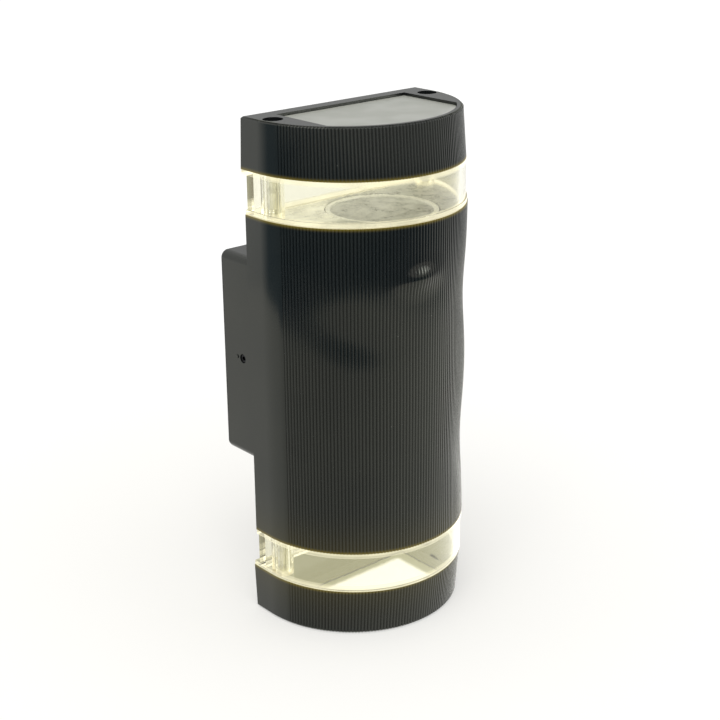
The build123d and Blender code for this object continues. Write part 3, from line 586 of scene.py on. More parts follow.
def start_material(name, **constants):
    """A material with its main shader, whose constant sockets are set on the shader itself."""
    material, tree = empty_material(name)
    shader = put(tree, "ShaderNodeBsdfPrincipled")
    for key, value in constants.items():
        label = key.replace("_", " ").title().replace("Ior", "IOR")
        shader.inputs[label].default_value = value
    put(tree, "ShaderNodeOutputMaterial", {"Surface": shader.outputs[0]})
    return material, tree, shader


def feed(tree, shader, colour, roughness, height, relief, light=None):
    """Links what varies over a surface to its shader."""
    bump = out(tree, "ShaderNodeBump", {"Strength": 1.0, "Distance": relief, "Height": height})
    varied = {"Base Color": colour, "Roughness": roughness, "Normal": bump, "Emission Color": light}
    for label, value in varied.items():
        if value is not None:
            tree.links.new(value, shader.inputs[label])


def light_on_plastic(tree, glow):
    """The bands' light on the plastic beside them, and the lamps' light inside the caps."""
    upright = object_place(tree)["Z"]
    height = maths(tree, "ABSOLUTE", upright)
    from_foot = maths(tree, "ABSOLUTE", minus(tree, height, band_low.z))
    from_head = maths(tree, "ABSOLUTE", minus(tree, height, band_high.z))
    from_band = maths(tree, "MINIMUM", from_foot, from_head)
    near = ramp(tree, from_band, high=glow.fringe_reach, at_low=1.0, at_high=0.0)
    wide = ramp(tree, from_band, high=glow.spill_reach, at_low=1.0, at_high=0.0)
    lower_half = maths(tree, "LESS_THAN", upright, 0.0)
    spill = mix_colour(tree, times(tree, wide, wide, lower_half), UNLIT, glow.spill_colour)
    fringe = mix_colour(tree, times(tree, near, near), spill, glow.fringe_colour)
    return mix_colour(tree, mark_of(tree, "inside"), fringe, glow.inside_colour)


def moulded_black_plastic(finish, glow):
    """Glossy moulded black plastic with bloom, dust, rubbed edges, painted shade in the rib grooves and the
    lamps' light.
    """
    material, tree, shader = start_material(
        "moulded black plastic", specular_ior_level=0.44, emission_strength=1.0,
        specular_tint=finish.black_gloss)
    surface = group(tree, moulded_surface_group(), grain_size=0.35 * MM, wave_size=24 * MM, wave_share=0.7)
    dust = group(tree, settled_dust_group(), speck_spacing=9 * MM, speck_size=0.022, haze_size=16 * MM)
    wear = group(tree, worn_edge_group())["Wear"]
    colour = mix_colour(tree, surface["Patches"], finish.black_plastic, finish.black_bloom)
    for cover, share in ((dust["Haze"], 0.006), (wear, 0.10), (dust["Specks"], 0.30)):
        colour = mix_colour(tree, times(tree, cover, share), colour, finish.dust)
    # Painted shade in the rib grooves: the deeper a point lies, the nearer black and the more metallic it is,
    # so that it loses its gloss.
    shade = ramp(tree, mark_of(tree, "groove"), low=0.12, high=0.7, at_high=0.66)
    colour = mix_colour(tree, shade, colour, GROOVE_SHADE)
    tree.links.new(shade, shader.inputs["Metallic"])
    unevenness = plus(tree, surface["Patches"], dust["Haze"])
    smooth = ramp(tree, unevenness, high=1.6, at_low=0.09, at_high=0.13)
    rough = mix_number(tree, dust["Upward"], smooth, finish.black_top_roughness)
    sink_size, sink_height = 34 * MM, 45.0
    sink_marks = times(tree, object_noise(tree, sink_size, detail=0.0), sink_height)
    feed(tree, shader, colour, rough, plus(tree, surface["Height"], sink_marks), 0.004 * MM,
         light_on_plastic(tree, glow))
    return material


def clear_acrylic(finish, glow):
    """Clear moulded plastic with the lamps' light that its rims and back corners pipe painted on them, and
    painted shade on its back wall and right end.
    """
    back_wall, back_stop, corner_wall = 2.7 * MM, 7 * MM, 3.2 * MM
    end_start, end_full = 28 * MM, 46 * MM
    material, tree, shader = start_material(
        "clear acrylic", transmission_weight=1.0, ior=1.49, emission_strength=1.0)
    surface = group(tree, moulded_surface_group(), grain_size=1.1 * MM, wave_size=6 * MM, wave_share=0.8)
    place = object_place(tree)
    height, aside = maths(tree, "ABSOLUTE", place["Z"]), maths(tree, "ABSOLUTE", place["X"])
    low_rim = maths(tree, "LESS_THAN", height, band_low.z + glow.rim_height)
    high_rim = maths(tree, "GREATER_THAN", height, band_high.z - glow.rim_height)
    rims = maths(tree, "MAXIMUM", low_rim, high_rim)
    middle = maths(tree, "LESS_THAN", aside, band_high.x - back_stop)
    back = times(tree, maths(tree, "GREATER_THAN", place["Y"], band_high.y - back_wall), middle)
    right_end_shade = ramp(tree, place["X"], end_start, end_full)
    behind = maths(tree, "GREATER_THAN", place["Y"], band_high.y - glow.corner_reach)
    corner = times(tree, behind, maths(tree, "GREATER_THAN", aside, band_high.x - corner_wall))
    streaks = ramp(tree, object_noise(tree, 12 * MM, detail=1.0), low=0.3, high=0.7, at_low=0.8)
    light = mix_colour(tree, corner, glow.haze_colour, glow.corner_colour)
    light = mix_colour(tree, times(tree, rims, streaks), light, glow.rim_colour)
    colour = mix_colour(tree, surface["Patches"], finish.clear_plastic, shaded(finish.clear_plastic, 0.98))
    # Base tints: painted shade on the back wall and the right end, and the cream tint of the painted glow on
    # the back corners and the rims.
    for where, tint in ((back, finish.clear_back), (right_end_shade, finish.clear_end_shade),
                        (corner, shaded(finish.clear_rim, 0.5)), (rims, finish.clear_rim)):
        colour = mix_colour(tree, where, colour, tint)
    rough = ramp(tree, surface["Patches"], at_low=0.02, at_high=0.06)
    feed(tree, shader, colour, rough, surface["Height"], 0.03 * MM, light)
    return material


def pool_of_light(tree, glow):
    """The lamp's light on the lower window glass: a bright pool on its upper face, and less round it."""
    soft, face_depth = 1.2 * MM, 0.4 * MM
    place = object_place(tree)
    across = maths(tree, "ABSOLUTE", place["X"])
    side, back = glow.pool_half_width, glow.pool_back
    within = ramp(tree, across, side - soft, side + soft, at_low=1.0, at_high=0.0)
    in_front = ramp(tree, place["Y"], back - soft, back + soft, at_low=1.0, at_high=0.0)
    glass_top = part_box("lower_window_glass")[1].z
    upper_face = maths(tree, "GREATER_THAN", place["Z"], glass_top - face_depth)
    return mix_colour(tree, times(tree, within, in_front, upper_face), glow.inside_colour, glow.pool_colour)


def etched_glass(finish, name, glow=None):
    """Satin etched window glass, paler where it lies on its bed, and lit where a glow is given."""
    material, tree, shader = start_material(
        name, transmission_weight=0.22, ior=1.5, emission_strength=1.0 if glow else 0.0)
    surface = group(tree, moulded_surface_group(), grain_size=0.5 * MM, wave_size=14 * MM, wave_share=0.5)
    dust = group(tree, settled_dust_group(), speck_spacing=11 * MM, speck_size=0.02, haze_size=20 * MM)
    colour = finish.etched_glass
    for cover, share in ((dust["Haze"], 0.12), (mark_of(tree, "border"), 0.55)):
        colour = mix_colour(tree, times(tree, cover, share), colour, finish.etched_border)
    rough = ramp(tree, surface["Patches"], at_low=0.30, at_high=0.40)
    light = pool_of_light(tree, glow) if glow else None
    feed(tree, shader, colour, rough, surface["Height"], 0.01 * MM, light)
    return material


def mottled_reflector(finish, glow):
    """Half-bright plate whose plating has run and bubbled, with a patch of lamplight on it."""
    patch_right, patch_front, soft = -12 * MM, -73 * MM, 3 * MM
    gleam = (0.85, 0.84, 0.76)
    material, tree, shader = start_material("mottled reflector", metallic=0.35, emission_strength=1.0)
    metal = group(tree, mottled_metal_group(), blotch_size=7 * MM, crystal_size=0.9 * MM)
    colour = mix_colour(tree, metal["Blotches"], shaded(finish.reflector, 0.45), finish.reflector)
    colour = mix_colour(tree, times(tree, metal["Crystals"], 0.25), colour, gleam)
    rough = ramp(tree, metal["Blotches"], at_low=0.22, at_high=0.42)
    # Painted lamplight: a patch to the left, behind the front, broken up by the blotches.
    place = object_place(tree)
    left = ramp(tree, place["X"], patch_right - soft, patch_right + soft, at_low=1.0, at_high=0.0)
    behind = ramp(tree, place["Y"], patch_front - soft, patch_front + soft)
    broken = ramp(tree, metal["Blotches"], at_low=0.7)
    light = mix_colour(tree, times(tree, left, behind, broken), UNLIT, glow.lamplight_patch_colour)
    feed(tree, shader, colour, rough, metal["Height"], 0.12 * MM, light)
    return material


def spangled_metal(name, plating, rough_low=0.28, rough_high=0.46, light=UNLIT):
    """Plated, blackened, bright or cast metal with fine spangle and rubbed edges, and any lamplight on it."""
    material, tree, shader = start_material(
        name, metallic=1.0, emission_strength=1.0, emission_color=(*light, 1.0))
    metal = group(tree, mottled_metal_group(), blotch_size=9 * MM, crystal_size=2.2 * MM)
    wear = group(tree, worn_edge_group())["Wear"]
    colour = mix_colour(tree, metal["Crystals"], shaded(plating, 0.72), plating)
    colour = mix_colour(tree, times(tree, wear, 0.5), colour, shaded(plating, 1.35))
    rough = ramp(tree, metal["Blotches"], at_low=rough_low, at_high=rough_high)
    feed(tree, shader, colour, rough, metal["Height"], 0.01 * MM)
    return material


def plain_brass(finish):
    """Stamped brass, duller in patches."""
    material, tree, shader = start_material("brass", metallic=1.0)
    metal = group(tree, mottled_metal_group(), blotch_size=3 * MM, crystal_size=0.5 * MM)
    colour = mix_colour(tree, metal["Blotches"], shaded(finish.brass, 0.6), finish.brass)
    rough = ramp(tree, metal["Blotches"], at_low=0.4, at_high=0.24)
    feed(tree, shader, colour, rough, metal["Height"], 0.01 * MM)
    return material


def pale_moulding(name, colour, deep_share, rough_low, rough_high, grain=0.4 * MM, relief=0.02 * MM):
    """A pale moulded or fired finish: ceramic, nylon, silicone or a lead's sleeve."""
    grime = (0.2, 0.19, 0.17)
    material, tree, shader = start_material(name)
    surface = group(tree, moulded_surface_group(), grain_size=grain, wave_size=7 * MM, wave_share=0.4)
    dust = group(tree, settled_dust_group(), speck_spacing=4 * MM, speck_size=0.05, haze_size=8 * MM)
    shade = mix_colour(tree, surface["Patches"], shaded(colour, deep_share), colour)
    shade = mix_colour(tree, times(tree, dust["Specks"], 0.35), shade, grime)
    rough = ramp(tree, surface["Patches"], at_low=rough_low, at_high=rough_high)
    feed(tree, shader, shade, rough, surface["Height"], relief)
    return material


def matt_rubber(finish):
    """Matt black rubber with bloom."""
    material, tree, shader = start_material("matt rubber")
    surface = group(tree, moulded_surface_group(), grain_size=0.2 * MM, wave_size=5 * MM, wave_share=0.3)
    dust = group(tree, settled_dust_group(), speck_spacing=3 * MM, speck_size=0.06, haze_size=6 * MM)
    colour = mix_colour(tree, times(tree, dust["Haze"], 0.08), finish.rubber, finish.dust)
    rough = ramp(tree, surface["Patches"], at_low=0.55, at_high=0.75)
    feed(tree, shader, colour, rough, surface["Height"], 0.03 * MM)
    return material


def lit_lens(glow):
    """Frosted lamp lens with its small prisms and a mottled bloom, lit from inside."""
    dull, pale = (0.20, 0.20, 0.17), (0.50, 0.50, 0.44)
    crystal_share = 0.35
    material, tree, shader = start_material("lit lens", emission_strength=glow.lens_strength)
    metal = group(tree, mottled_metal_group(), blotch_size=6 * MM, crystal_size=1.6 * MM)
    prisms = maths(tree, "MULTIPLY_ADD", metal["Crystals"], crystal_share, metal["Blotches"])
    light = mix_colour(tree, prisms, shaded(glow.lens_colour, 0.4), glow.lens_colour)
    rough = ramp(tree, prisms, high=1.3, at_low=0.25, at_high=0.4)
    feed(tree, shader, mix_colour(tree, prisms, dull, pale), rough, metal["Height"], 0.15 * MM, light)
    return material


def make_finishes(scene):
    """Every finish, by the name that a node's slot or OWN_FINISHES gives it."""
    finish, glow = scene.light_finishes, scene.light_glow
    return {
        "black_housing": moulded_black_plastic(finish, glow),
        "clear_plastic": clear_acrylic(finish, glow),
        "frosted_glass": etched_glass(finish, "etched glass"),
        "lit_glass": etched_glass(finish, "etched glass, lit", glow),
        "silicone": pale_moulding("silicone bed", finish.silicone, 0.9, 0.45, 0.6),
        "black_rubber": matt_rubber(finish),
        "reflector_metal": mottled_reflector(finish, glow),
        "zinc_steel": spangled_metal("zinc plated steel", finish.zinc),
        "blackened_steel": spangled_metal("blackened steel", finish.blackened),
        "ceramic": pale_moulding("unglazed ceramic", finish.ceramic, 0.86, 0.6, 0.8, 0.25 * MM, 0.05 * MM),
        "brass": plain_brass(finish),
        "lamp_shell": spangled_metal("cast lamp shell", finish.cast_metal, light=glow.shell_colour),
        "bright_steel": spangled_metal("bright steel", finish.bright, 0.07, 0.15),
        "lamp_lens": lit_lens(glow),
        "nylon": pale_moulding("natural nylon", finish.white_plastic, 0.92, 0.38, 0.52),
        "lead_sleeve": pale_moulding("lead sleeve", finish.silicone, 0.85, 0.5, 0.65, 0.8 * MM, 0.04 * MM),
    }


NODE_SLOTS = {
    "body_housing": "black_housing", "wall_box": "black_housing", "cap": "black_housing",
    "clear_band": "clear_plastic", "window_glass": "frosted_glass", "glass_bed": "silicone",
    "box_seal": "black_rubber", "wall_seal": "black_rubber", "body_seal": "black_rubber",
    "cap_seal": "black_rubber", "lead_grommet": "black_rubber", "reflector_plate": "reflector_metal",
    "wall_bracket": "zinc_steel", "lamp_bracket": "zinc_steel", "box_screws": "zinc_steel",
    "grub_screws": "zinc_steel", "clamp_screws": "zinc_steel", "block_screws": "zinc_steel",
    "lamp_bracket_screws": "zinc_steel", "holder_screws": "zinc_steel", "cap_screws": "zinc_steel",
    "lampholder": "ceramic", "holder_contacts": "brass", "terminal_inserts": "brass",
    "lamp_pins": "brass", "terminal_block": "nylon", "lamp_shell": "lamp_shell",
    "lamp_lens": "lamp_lens", "lamp_leads": "lead_sleeve",
}
OWN_FINISHES = {"lower_window_glass": "lit_glass", "grub_screws": "blackened_steel",
                "upper_cap_screws": "bright_steel", "lower_cap_screws": "bright_steel"}
finishes = {}


def plain_name(node):
    """A node's name without its end of the light."""
    return node.removeprefix("upper_").removeprefix("lower_")


def finish_of(node):
    """The material for a node."""
    if not finishes:
        finishes.update(make_finishes(bpy.context.scene))
    return finishes[OWN_FINISHES.get(node) or NODE_SLOTS[plain_name(node)]]


def both_ends(name):
    """The names of a piece of the upper end and its twin at the lower end."""
    return f"upper_{name}", f"lower_{name}"


def merged_copy(node):
    """A copy of a node's mesh with its loose triangles joined and its flat faces made whole."""
    mesh = bmesh.new()
    mesh.from_mesh(frame["nodes"][node].data)
    bmesh.ops.remove_doubles(mesh, verts=mesh.verts, dist=MERGE_DISTANCE)
    bmesh.ops.dissolve_limit(mesh, angle_limit=FLAT_ANGLE, verts=mesh.verts, edges=mesh.edges)
    return mesh


def round_edges(mesh, width, chosen=None):
    """Rounds a mesh's sharp edges and marks the narrow faces that this makes."""
    mark = mesh.faces.layers.float.get("edge") or mesh.faces.layers.float.new("edge")
    edges = [e for e in mesh.edges if e.is_manifold and e.calc_face_angle(0.0) > SHARP_ANGLE]
    if chosen:
        edges = [e for e in edges if chosen(e)]
    if edges:
        made = bmesh.ops.bevel(mesh, geom=edges, offset=width, offset_type="OFFSET", segments=2, profile=0.5,
                               affect="EDGES", clamp_overlap=True, loop_slide=True)
        for face in made["faces"]:
            face[mark] = 1.0


def add_object(name, mesh):
    """A new object that shows a mesh, at the origin."""
    made = bpy.data.objects.new(name, mesh)
    bpy.context.scene.collection.objects.link(made)
    return made


def mesh_data(name, mesh):
    """The mesh of a bmesh, smooth between its sharp edges."""
    data = bpy.data.meshes.new(name)
    mesh.to_mesh(data)
    mesh.free()
    data.shade_smooth()
    data.set_sharp_from_angle(angle=SHARP_ANGLE)
    return data


def mesh_object(name, mesh):
    """A new object that shows a bmesh."""
    return add_object(name, mesh_data(name, mesh))


def make_plain(piece):
    """Turns what a piece's modifiers make into its plain mesh."""
    evaluated = piece.evaluated_get(bpy.context.evaluated_depsgraph_get())
    data = bpy.data.meshes.new_from_object(evaluated)
    piece.modifiers.clear()
    piece.data = data


def even_faces(piece):
    """Lets the large faces of a piece set its shading, so that they look flat."""
    weighted = piece.modifiers.new("even faces", "WEIGHTED_NORMAL")
    weighted.keep_sharp = True


def settle(piece, node):
    """Applies a piece's modifiers, gives it its finish and lays it in place of its node."""
    if piece.modifiers:
        make_plain(piece)
    piece.data.materials.clear()
    piece.data.materials.append(finish_of(node))
    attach(piece, frame["nodes"][node]["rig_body"])
    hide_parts(node)
    return piece


def dressed(node, width, chosen=None, change=None):
    """A node's own shape with rounded edges and clean shading, in place of the node."""
    mesh = merged_copy(node)
    if change:
        change(mesh)
    if width:
        round_edges(mesh, width, chosen)
    piece = mesh_object(f"{node}_finished", mesh)
    even_faces(piece)
    return settle(piece, node)


def mark_grooves(mesh, front_at):
    """Marks how deep each point lies in a groove, which sets the painted groove shade. front_at gives the
    front's radius and centre by height.
    """
    mark = mesh.verts.layers.float.new("groove")
    for vertex in mesh.verts:
        radius, centre = front_at(vertex.co.z)
        depth = radius - Vector((vertex.co.x, vertex.co.y - centre)).length
        if vertex.co.y < centre and depth < GROOVE_LIMIT:
            vertex[mark] = min(max(depth / RIB_DEPTH, 0.0), 1.0)


def geometry_tree(name, inputs):
    """An empty geometry tree with its inputs and its one geometry output."""
    tree = bpy.data.node_groups.new(name, "GeometryNodeTree")
    socket(tree, "Geometry", "Geometry")
    for label, (kind, default) in inputs.items():
        socket(tree, label, kind, default=default)
    socket(tree, "Geometry", "Geometry", "OUTPUT")
    return tree, put(tree, "NodeGroupInput").outputs


def end_tree(tree, geometry, material):
    """Makes a tree's instances real, gives them their material and puts them out."""
    real = out(tree, "GeometryNodeRealizeInstances", {0: geometry})
    painted = out(tree, "GeometryNodeSetMaterial", {"Geometry": real, "Material": material})
    put(tree, "NodeGroupOutput", {"Geometry": painted})


def grown(name, base, tree, values):
    """An object with the plain mesh that a geometry tree makes of a base mesh."""
    made = add_object(name, base)
    modifier = made.modifiers.new(tree.name, "NODES")
    modifier.node_group = tree
    for item in tree.interface.items_tree:
        if item.item_type == "SOCKET" and item.in_out == "INPUT" and item.name in values:
            modifier[item.identifier] = values[item.name]
    even_faces(made)
    make_plain(made)
    return made


def point_place(tree):
    """X, Y and Z of each point of a tree's geometry."""
    return put(tree, "ShaderNodeSeparateXYZ", {0: out(tree, "GeometryNodeInputPosition")}).outputs


DENT_COUNT = 4
DENT_SIZES = {"Angle": "dent_angles", "Height": "dent_heights", "Half Width": "dent_half_widths",
              "Half Height": "dent_half_heights", "Tilt": "dent_tilts", "Depth": "dent_depths"}


def one_dent_group():
    """How deep one soft dent presses a point of the round front in."""
    name = "One dent"
    if name in bpy.data.node_groups:
        return bpy.data.node_groups[name]
    tree = bpy.data.node_groups.new(name, "GeometryNodeTree")
    for label in ("Arc Angle", "Arc Radius", "Point Height", *DENT_SIZES):
        socket(tree, label, "Float")
    socket(tree, "Pressed", "Float", "OUTPUT")
    at = put(tree, "NodeGroupInput").outputs
    along = times(tree, minus(tree, at["Arc Angle"], at["Angle"]), at["Arc Radius"])
    up = minus(tree, at["Point Height"], at["Height"])
    cosine, sine = maths(tree, "COSINE", at["Tilt"]), maths(tree, "SINE", at["Tilt"])
    long_way = plus(tree, times(tree, along, cosine), times(tree, up, sine))
    short_way = minus(tree, times(tree, up, cosine), times(tree, along, sine))
    long_share = maths(tree, "DIVIDE", long_way, at["Half Width"])
    short_share = maths(tree, "DIVIDE", short_way, at["Half Height"])
    reach = plus(tree, times(tree, long_share, long_share), times(tree, short_share, short_share))
    fall = maths(tree, "EXPONENT", times(tree, reach, -1.0))
    put(tree, "NodeGroupOutput", {"Pressed": times(tree, fall, at["Depth"])})
    return tree


def dent_inputs():
    """The inputs that a tree needs to press the dents in."""
    labels = [f"Dent {i + 1} {size}" for i in range(DENT_COUNT) for size in DENT_SIZES]
    return {"Arc Radius": ("Float", housing_radius), "Arc Centre": ("Float", front_centre_y),
            **{label: ("Float", 0.0) for label in labels}}


def dent_values(settings):
    """The values of those inputs."""
    return {f"Dent {i + 1} {size}": getattr(settings, name)[i]
            for i in range(DENT_COUNT) for size, name in DENT_SIZES.items()}


def pressed(tree, at, geometry):
    """Geometry with the dents pressed into it."""
    place = point_place(tree)
    angle = maths(tree, "ARCTAN2", minus(tree, at["Arc Centre"], place["Y"]), place["X"])
    total = None
    for i in range(DENT_COUNT):
        values = {"Arc Angle": angle, "Arc Radius": at["Arc Radius"], "Point Height": place["Z"],
                  **{size: at[f"Dent {i + 1} {size}"] for size in DENT_SIZES}}
        dent = out(tree, "GeometryNodeGroup", node_tree=one_dent_group())
        for label, value in values.items():
            tree.links.new(value, dent.node.inputs[label])
        total = dent if total is None else plus(tree, total, dent)
    inward = times(tree, maths(tree, "COSINE", angle), times(tree, total, -1.0))
    backward = times(tree, maths(tree, "SINE", angle), total)
    offset = vector(tree, X=inward, Y=backward)
    return out(tree, "GeometryNodeSetPosition", {"Geometry": geometry, "Offset": offset})


def dented_wall_tree():
    """Presses the dents into the housing's wall."""
    tree, at = geometry_tree("Dented wall", {**dent_inputs(), "Finish": ("Material", None)})
    end_tree(tree, pressed(tree, at, at["Geometry"]), at["Finish"])
    return tree


def rib_crest_tree():
    """Flat lands with soft shoulders on upright ribs round a D front, which may taper from foot to head."""
    tree, at = geometry_tree("Rib lands", {
        "Ribs": ("Int", 88), "Steps": ("Int", 2), "First Angle": ("Float", 0.0), "Last Angle": ("Float", pi),
        "Foot Radius": ("Float", 0.05), "Foot Centre": ("Float", 0.0), "Foot Height": ("Float", 0.0),
        "Head Radius": ("Float", 0.05), "Head Centre": ("Float", 0.0), "Head Height": ("Float", 0.02),
        "Land Width": ("Float", 0.0008), "Land Depth": ("Float", 0.0004), "Shoulder": ("Float", 0.0001),
        **dent_inputs(), "Finish": ("Material", None)})
    row = out(tree, "GeometryNodeMeshLine", {"Count": at["Ribs"]}, mode="OFFSET")
    share = maths(tree, "DIVIDE", out(tree, "GeometryNodeInputIndex"), minus(tree, at["Ribs"], 1.0))
    turn = mix_number(tree, share, at["First Angle"], at["Last Angle"])
    marked = out(tree, "GeometryNodeStoreNamedAttribute",
                 {"Geometry": row, "Name": "rib_angle", "Value": turn}, data_type="FLOAT", domain="POINT")
    angle = out(tree, "GeometryNodeInputNamedAttribute", {"Name": "rib_angle"}, data_type="FLOAT")
    across, ahead = maths(tree, "COSINE", angle), maths(tree, "SINE", angle)

    def on_front(radius, centre, height):
        forward = minus(tree, centre, times(tree, ahead, radius))
        return vector(tree, X=times(tree, across, radius), Y=forward, Z=height)

    place = on_front(at["Foot Radius"], at["Foot Centre"], at["Foot Height"])
    feet = out(tree, "GeometryNodeSetPosition", {"Geometry": marked, "Position": place})
    outline = out(tree, "GeometryNodeCurvePrimitiveQuadrilateral",
                  {"Width": at["Land Depth"], "Height": at["Land Width"]})
    soft = out(tree, "GeometryNodeFilletCurve", {"Curve": outline, "Radius": at["Shoulder"], "Count": 1},
               mode="POLY")
    length = minus(tree, at["Head Height"], at["Foot Height"])
    upright = out(tree, "GeometryNodeCurvePrimitiveLine", {"End": vector(tree, Z=length)})
    stepped = out(tree, "GeometryNodeResampleCurve", {"Curve": upright, "Count": at["Steps"]})
    bar = out(tree, "GeometryNodeCurveToMesh", {"Curve": stepped, "Profile Curve": soft, "Fill Caps": True})
    rotation = out(tree, "FunctionNodeEulerToRotation", {0: vector(tree, Z=times(tree, angle, -1.0))})
    bars = out(tree, "GeometryNodeInstanceOnPoints", {"Points": feet, "Instance": bar, "Rotation": rotation})
    real = out(tree, "GeometryNodeRealizeInstances", {0: bars})
    climb = maths(tree, "DIVIDE", minus(tree, point_place(tree)["Z"], at["Foot Height"]), length)
    wider = times(tree, climb, minus(tree, at["Head Radius"], at["Foot Radius"]))
    further = times(tree, climb, minus(tree, at["Head Centre"], at["Foot Centre"]))
    lean = out(tree, "GeometryNodeSetPosition", {"Geometry": real, "Offset": on_front(wider, further, 0.0)})
    smooth = out(tree, "GeometryNodeSetShadeSmooth", {0: pressed(tree, at, lean)})
    end_tree(tree, smooth, at["Finish"])
    return tree


def crest_values(settings, steps, foot, head):
    """Inputs of the rib lands. Foot and head are each a radius, a centre and a height."""
    sink = settings.land_depth / 2 - settings.land_proud
    half_step = (pi - 2 * settings.plain_side_angle) / settings.rib_count / 2
    return {
        "Ribs": settings.rib_count, "Steps": steps,
        "First Angle": settings.plain_side_angle + half_step,
        "Last Angle": pi - settings.plain_side_angle - half_step,
        "Foot Radius": foot[0] - sink, "Foot Centre": foot[1], "Foot Height": foot[2],
        "Head Radius": head[0] - sink, "Head Centre": head[1], "Head Height": head[2],
        "Land Width": settings.land_width, "Land Depth": settings.land_depth, "Shoulder": settings.shoulder,
        "Finish": finish_of("body_housing")}


def lay_crests(name, body, values):
    """Lays the rib lands of a ribbed piece on its body."""
    crests = grown(name, bpy.data.meshes.new(name), rib_crest_tree(), values)
    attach(crests, body)


def seats_tree():
    """Sets one piece, turned as each seat says, on every seat."""
    tree, at = geometry_tree(
        "Screws on their seats", {"Screw": ("Object", None), "Finish": ("Material", None)})
    screw = put(tree, "GeometryNodeObjectInfo", {"Object": at["Screw"]}).outputs["Geometry"]
    turn = out(tree, "GeometryNodeInputNamedAttribute", {"Name": "turn"}, data_type="FLOAT_VECTOR")
    points = out(tree, "GeometryNodeMeshToPoints", {0: at["Geometry"]})
    rotation = out(tree, "FunctionNodeEulerToRotation", {0: turn})
    placed = out(tree, "GeometryNodeInstanceOnPoints",
                 {"Points": points, "Instance": screw, "Rotation": rotation})
    end_tree(tree, placed, at["Finish"])
    return tree


def separate_solids(node):
    """The corner points of each separate solid in a node, in the same order at each run."""
    mesh = merged_copy(node)
    left, solids = set(mesh.verts), []
    for first in mesh.verts:
        if first not in left:
            continue
        left.remove(first)
        reached, found = [first], []
        while reached:
            vertex = reached.pop()
            found.append(vertex.co.copy())
            for edge in vertex.link_edges:
                other = edge.other_vert(vertex)
                if other in left:
                    left.remove(other)
                    reached.append(other)
        solids.append(found)
    mesh.free()
    return solids


def screw_facts(node, axis):
    """Each screw's head place and direction, and the sizes that all of them share."""
    head_from, shank_to = 0.95, 0.8
    across = [i for i in range(3) if i != axis]
    seats = []
    for points in separate_solids(node):
        middle = [(min(p[i] for p in points) + max(p[i] for p in points)) / 2 for i in across]
        reach = [((p[across[0]] - middle[0]) ** 2 + (p[across[1]] - middle[1]) ** 2) ** 0.5 for p in points]
        head_radius = max(reach)
        low, high = min(p[axis] for p in points), max(p[axis] for p in points)
        head_heights = [p[axis] for p, r in zip(points, reach) if r > head_from * head_radius]
        up = sum(head_heights) / len(head_heights) > (low + high) / 2
        direction = Vector([0.0, 0.0, 0.0])
        direction[axis] = 1.0 if up else -1.0
        top = Vector([0.0, 0.0, 0.0])
        top[across[0]], top[across[1]], top[axis] = middle[0], middle[1], high if up else low
        shank = max(r for p, r in zip(points, reach) if r < shank_to * head_radius)
        sizes = (head_radius, max(head_heights) - min(head_heights), shank, high - low)
        seats.append((top, direction))
    return seats, sizes


def turned(mesh, profile):
    """Turns a profile of (radius, height) points about the Z axis. Its ends lie on the axis or stay open."""
    rings = []
    for radius, height in profile:
        if radius == 0.0:
            rings.append([mesh.verts.new((0.0, 0.0, height))])
            continue
        turns = [2 * pi * i / PROFILE_SEGMENTS for i in range(PROFILE_SEGMENTS)]
        rings.append([mesh.verts.new((radius * cos(t), radius * sin(t), height)) for t in turns])
    for low, high in zip(rings, rings[1:]):
        for i in range(PROFILE_SEGMENTS):
            j = (i + 1) % PROFILE_SEGMENTS
            if len(low) == 1:
                mesh.faces.new((low[0], high[j], high[i]))
            elif len(high) == 1:
                mesh.faces.new((low[i], low[j], high[0]))
            else:
                mesh.faces.new((low[i], low[j], high[j], high[i]))
    return rings


def screw_profile(head_radius, head_height, shank_radius, length, thread_length):
    """The outline of a screw from its point up to the flat of its head."""
    pitch, thread_depth = 0.35 * shank_radius, 0.12 * shank_radius
    root, crest = shank_radius - thread_depth, shank_radius - 0.1 * thread_depth
    edge = 0.16 * head_radius
    bevel = 0.3 * edge
    profile = [(0.0, -length), (0.55 * shank_radius, -length), (root, -length + pitch)]
    height = -length + pitch
    while height < -length + thread_length:
        profile += [(crest, height + pitch / 2), (root, height + pitch)]
        height += pitch
    return profile + [(crest, height + pitch / 2), (shank_radius, -head_height),
                      (head_radius - bevel, -head_height), (head_radius, -head_height + bevel),
                      (head_radius, -edge), (head_radius - bevel, -bevel), (head_radius - edge, 0.0)]


def ring_pairs(ring):
    """Each point of a closed ring with the next one."""
    return zip(ring, ring[1:] + ring[:1])


def screw_mesh(head_radius, head_height, shank_radius, length, thread_length):
    """A cross-recess screw: its head's top is at the origin and its point looks down."""
    mesh = bmesh.new()
    rim = turned(mesh, screw_profile(head_radius, head_height, shank_radius, length, thread_length))[-1]
    arm, half = 0.55 * head_radius, 0.13 * head_radius
    taper, recess_depth = 0.6, 0.75 * head_height
    quarter = [(arm, -half), (arm, half), (half, half)]
    cross = []
    for i in range(4):
        c, s = round(cos(i * pi / 2)), round(sin(i * pi / 2))
        cross += [(x * c - y * s, x * s + y * c) for x, y in quarter]
    upper = [mesh.verts.new((x, y, 0.0)) for x, y in cross]
    lower = [mesh.verts.new((taper * x, taper * y, -recess_depth)) for x, y in cross]
    loop = [mesh.edges.new(pair) for pair in ring_pairs(upper)]
    ring = [mesh.edges.get(pair) for pair in ring_pairs(rim)]
    bmesh.ops.triangle_fill(mesh, use_beauty=True, edges=loop + ring)
    for (a, b), (d, c) in zip(ring_pairs(upper), ring_pairs(lower)):
        mesh.faces.new((a, b, c, d))
    mesh.faces.new(lower)
    bmesh.ops.recalc_face_normals(mesh, faces=mesh.faces)
    return mesh


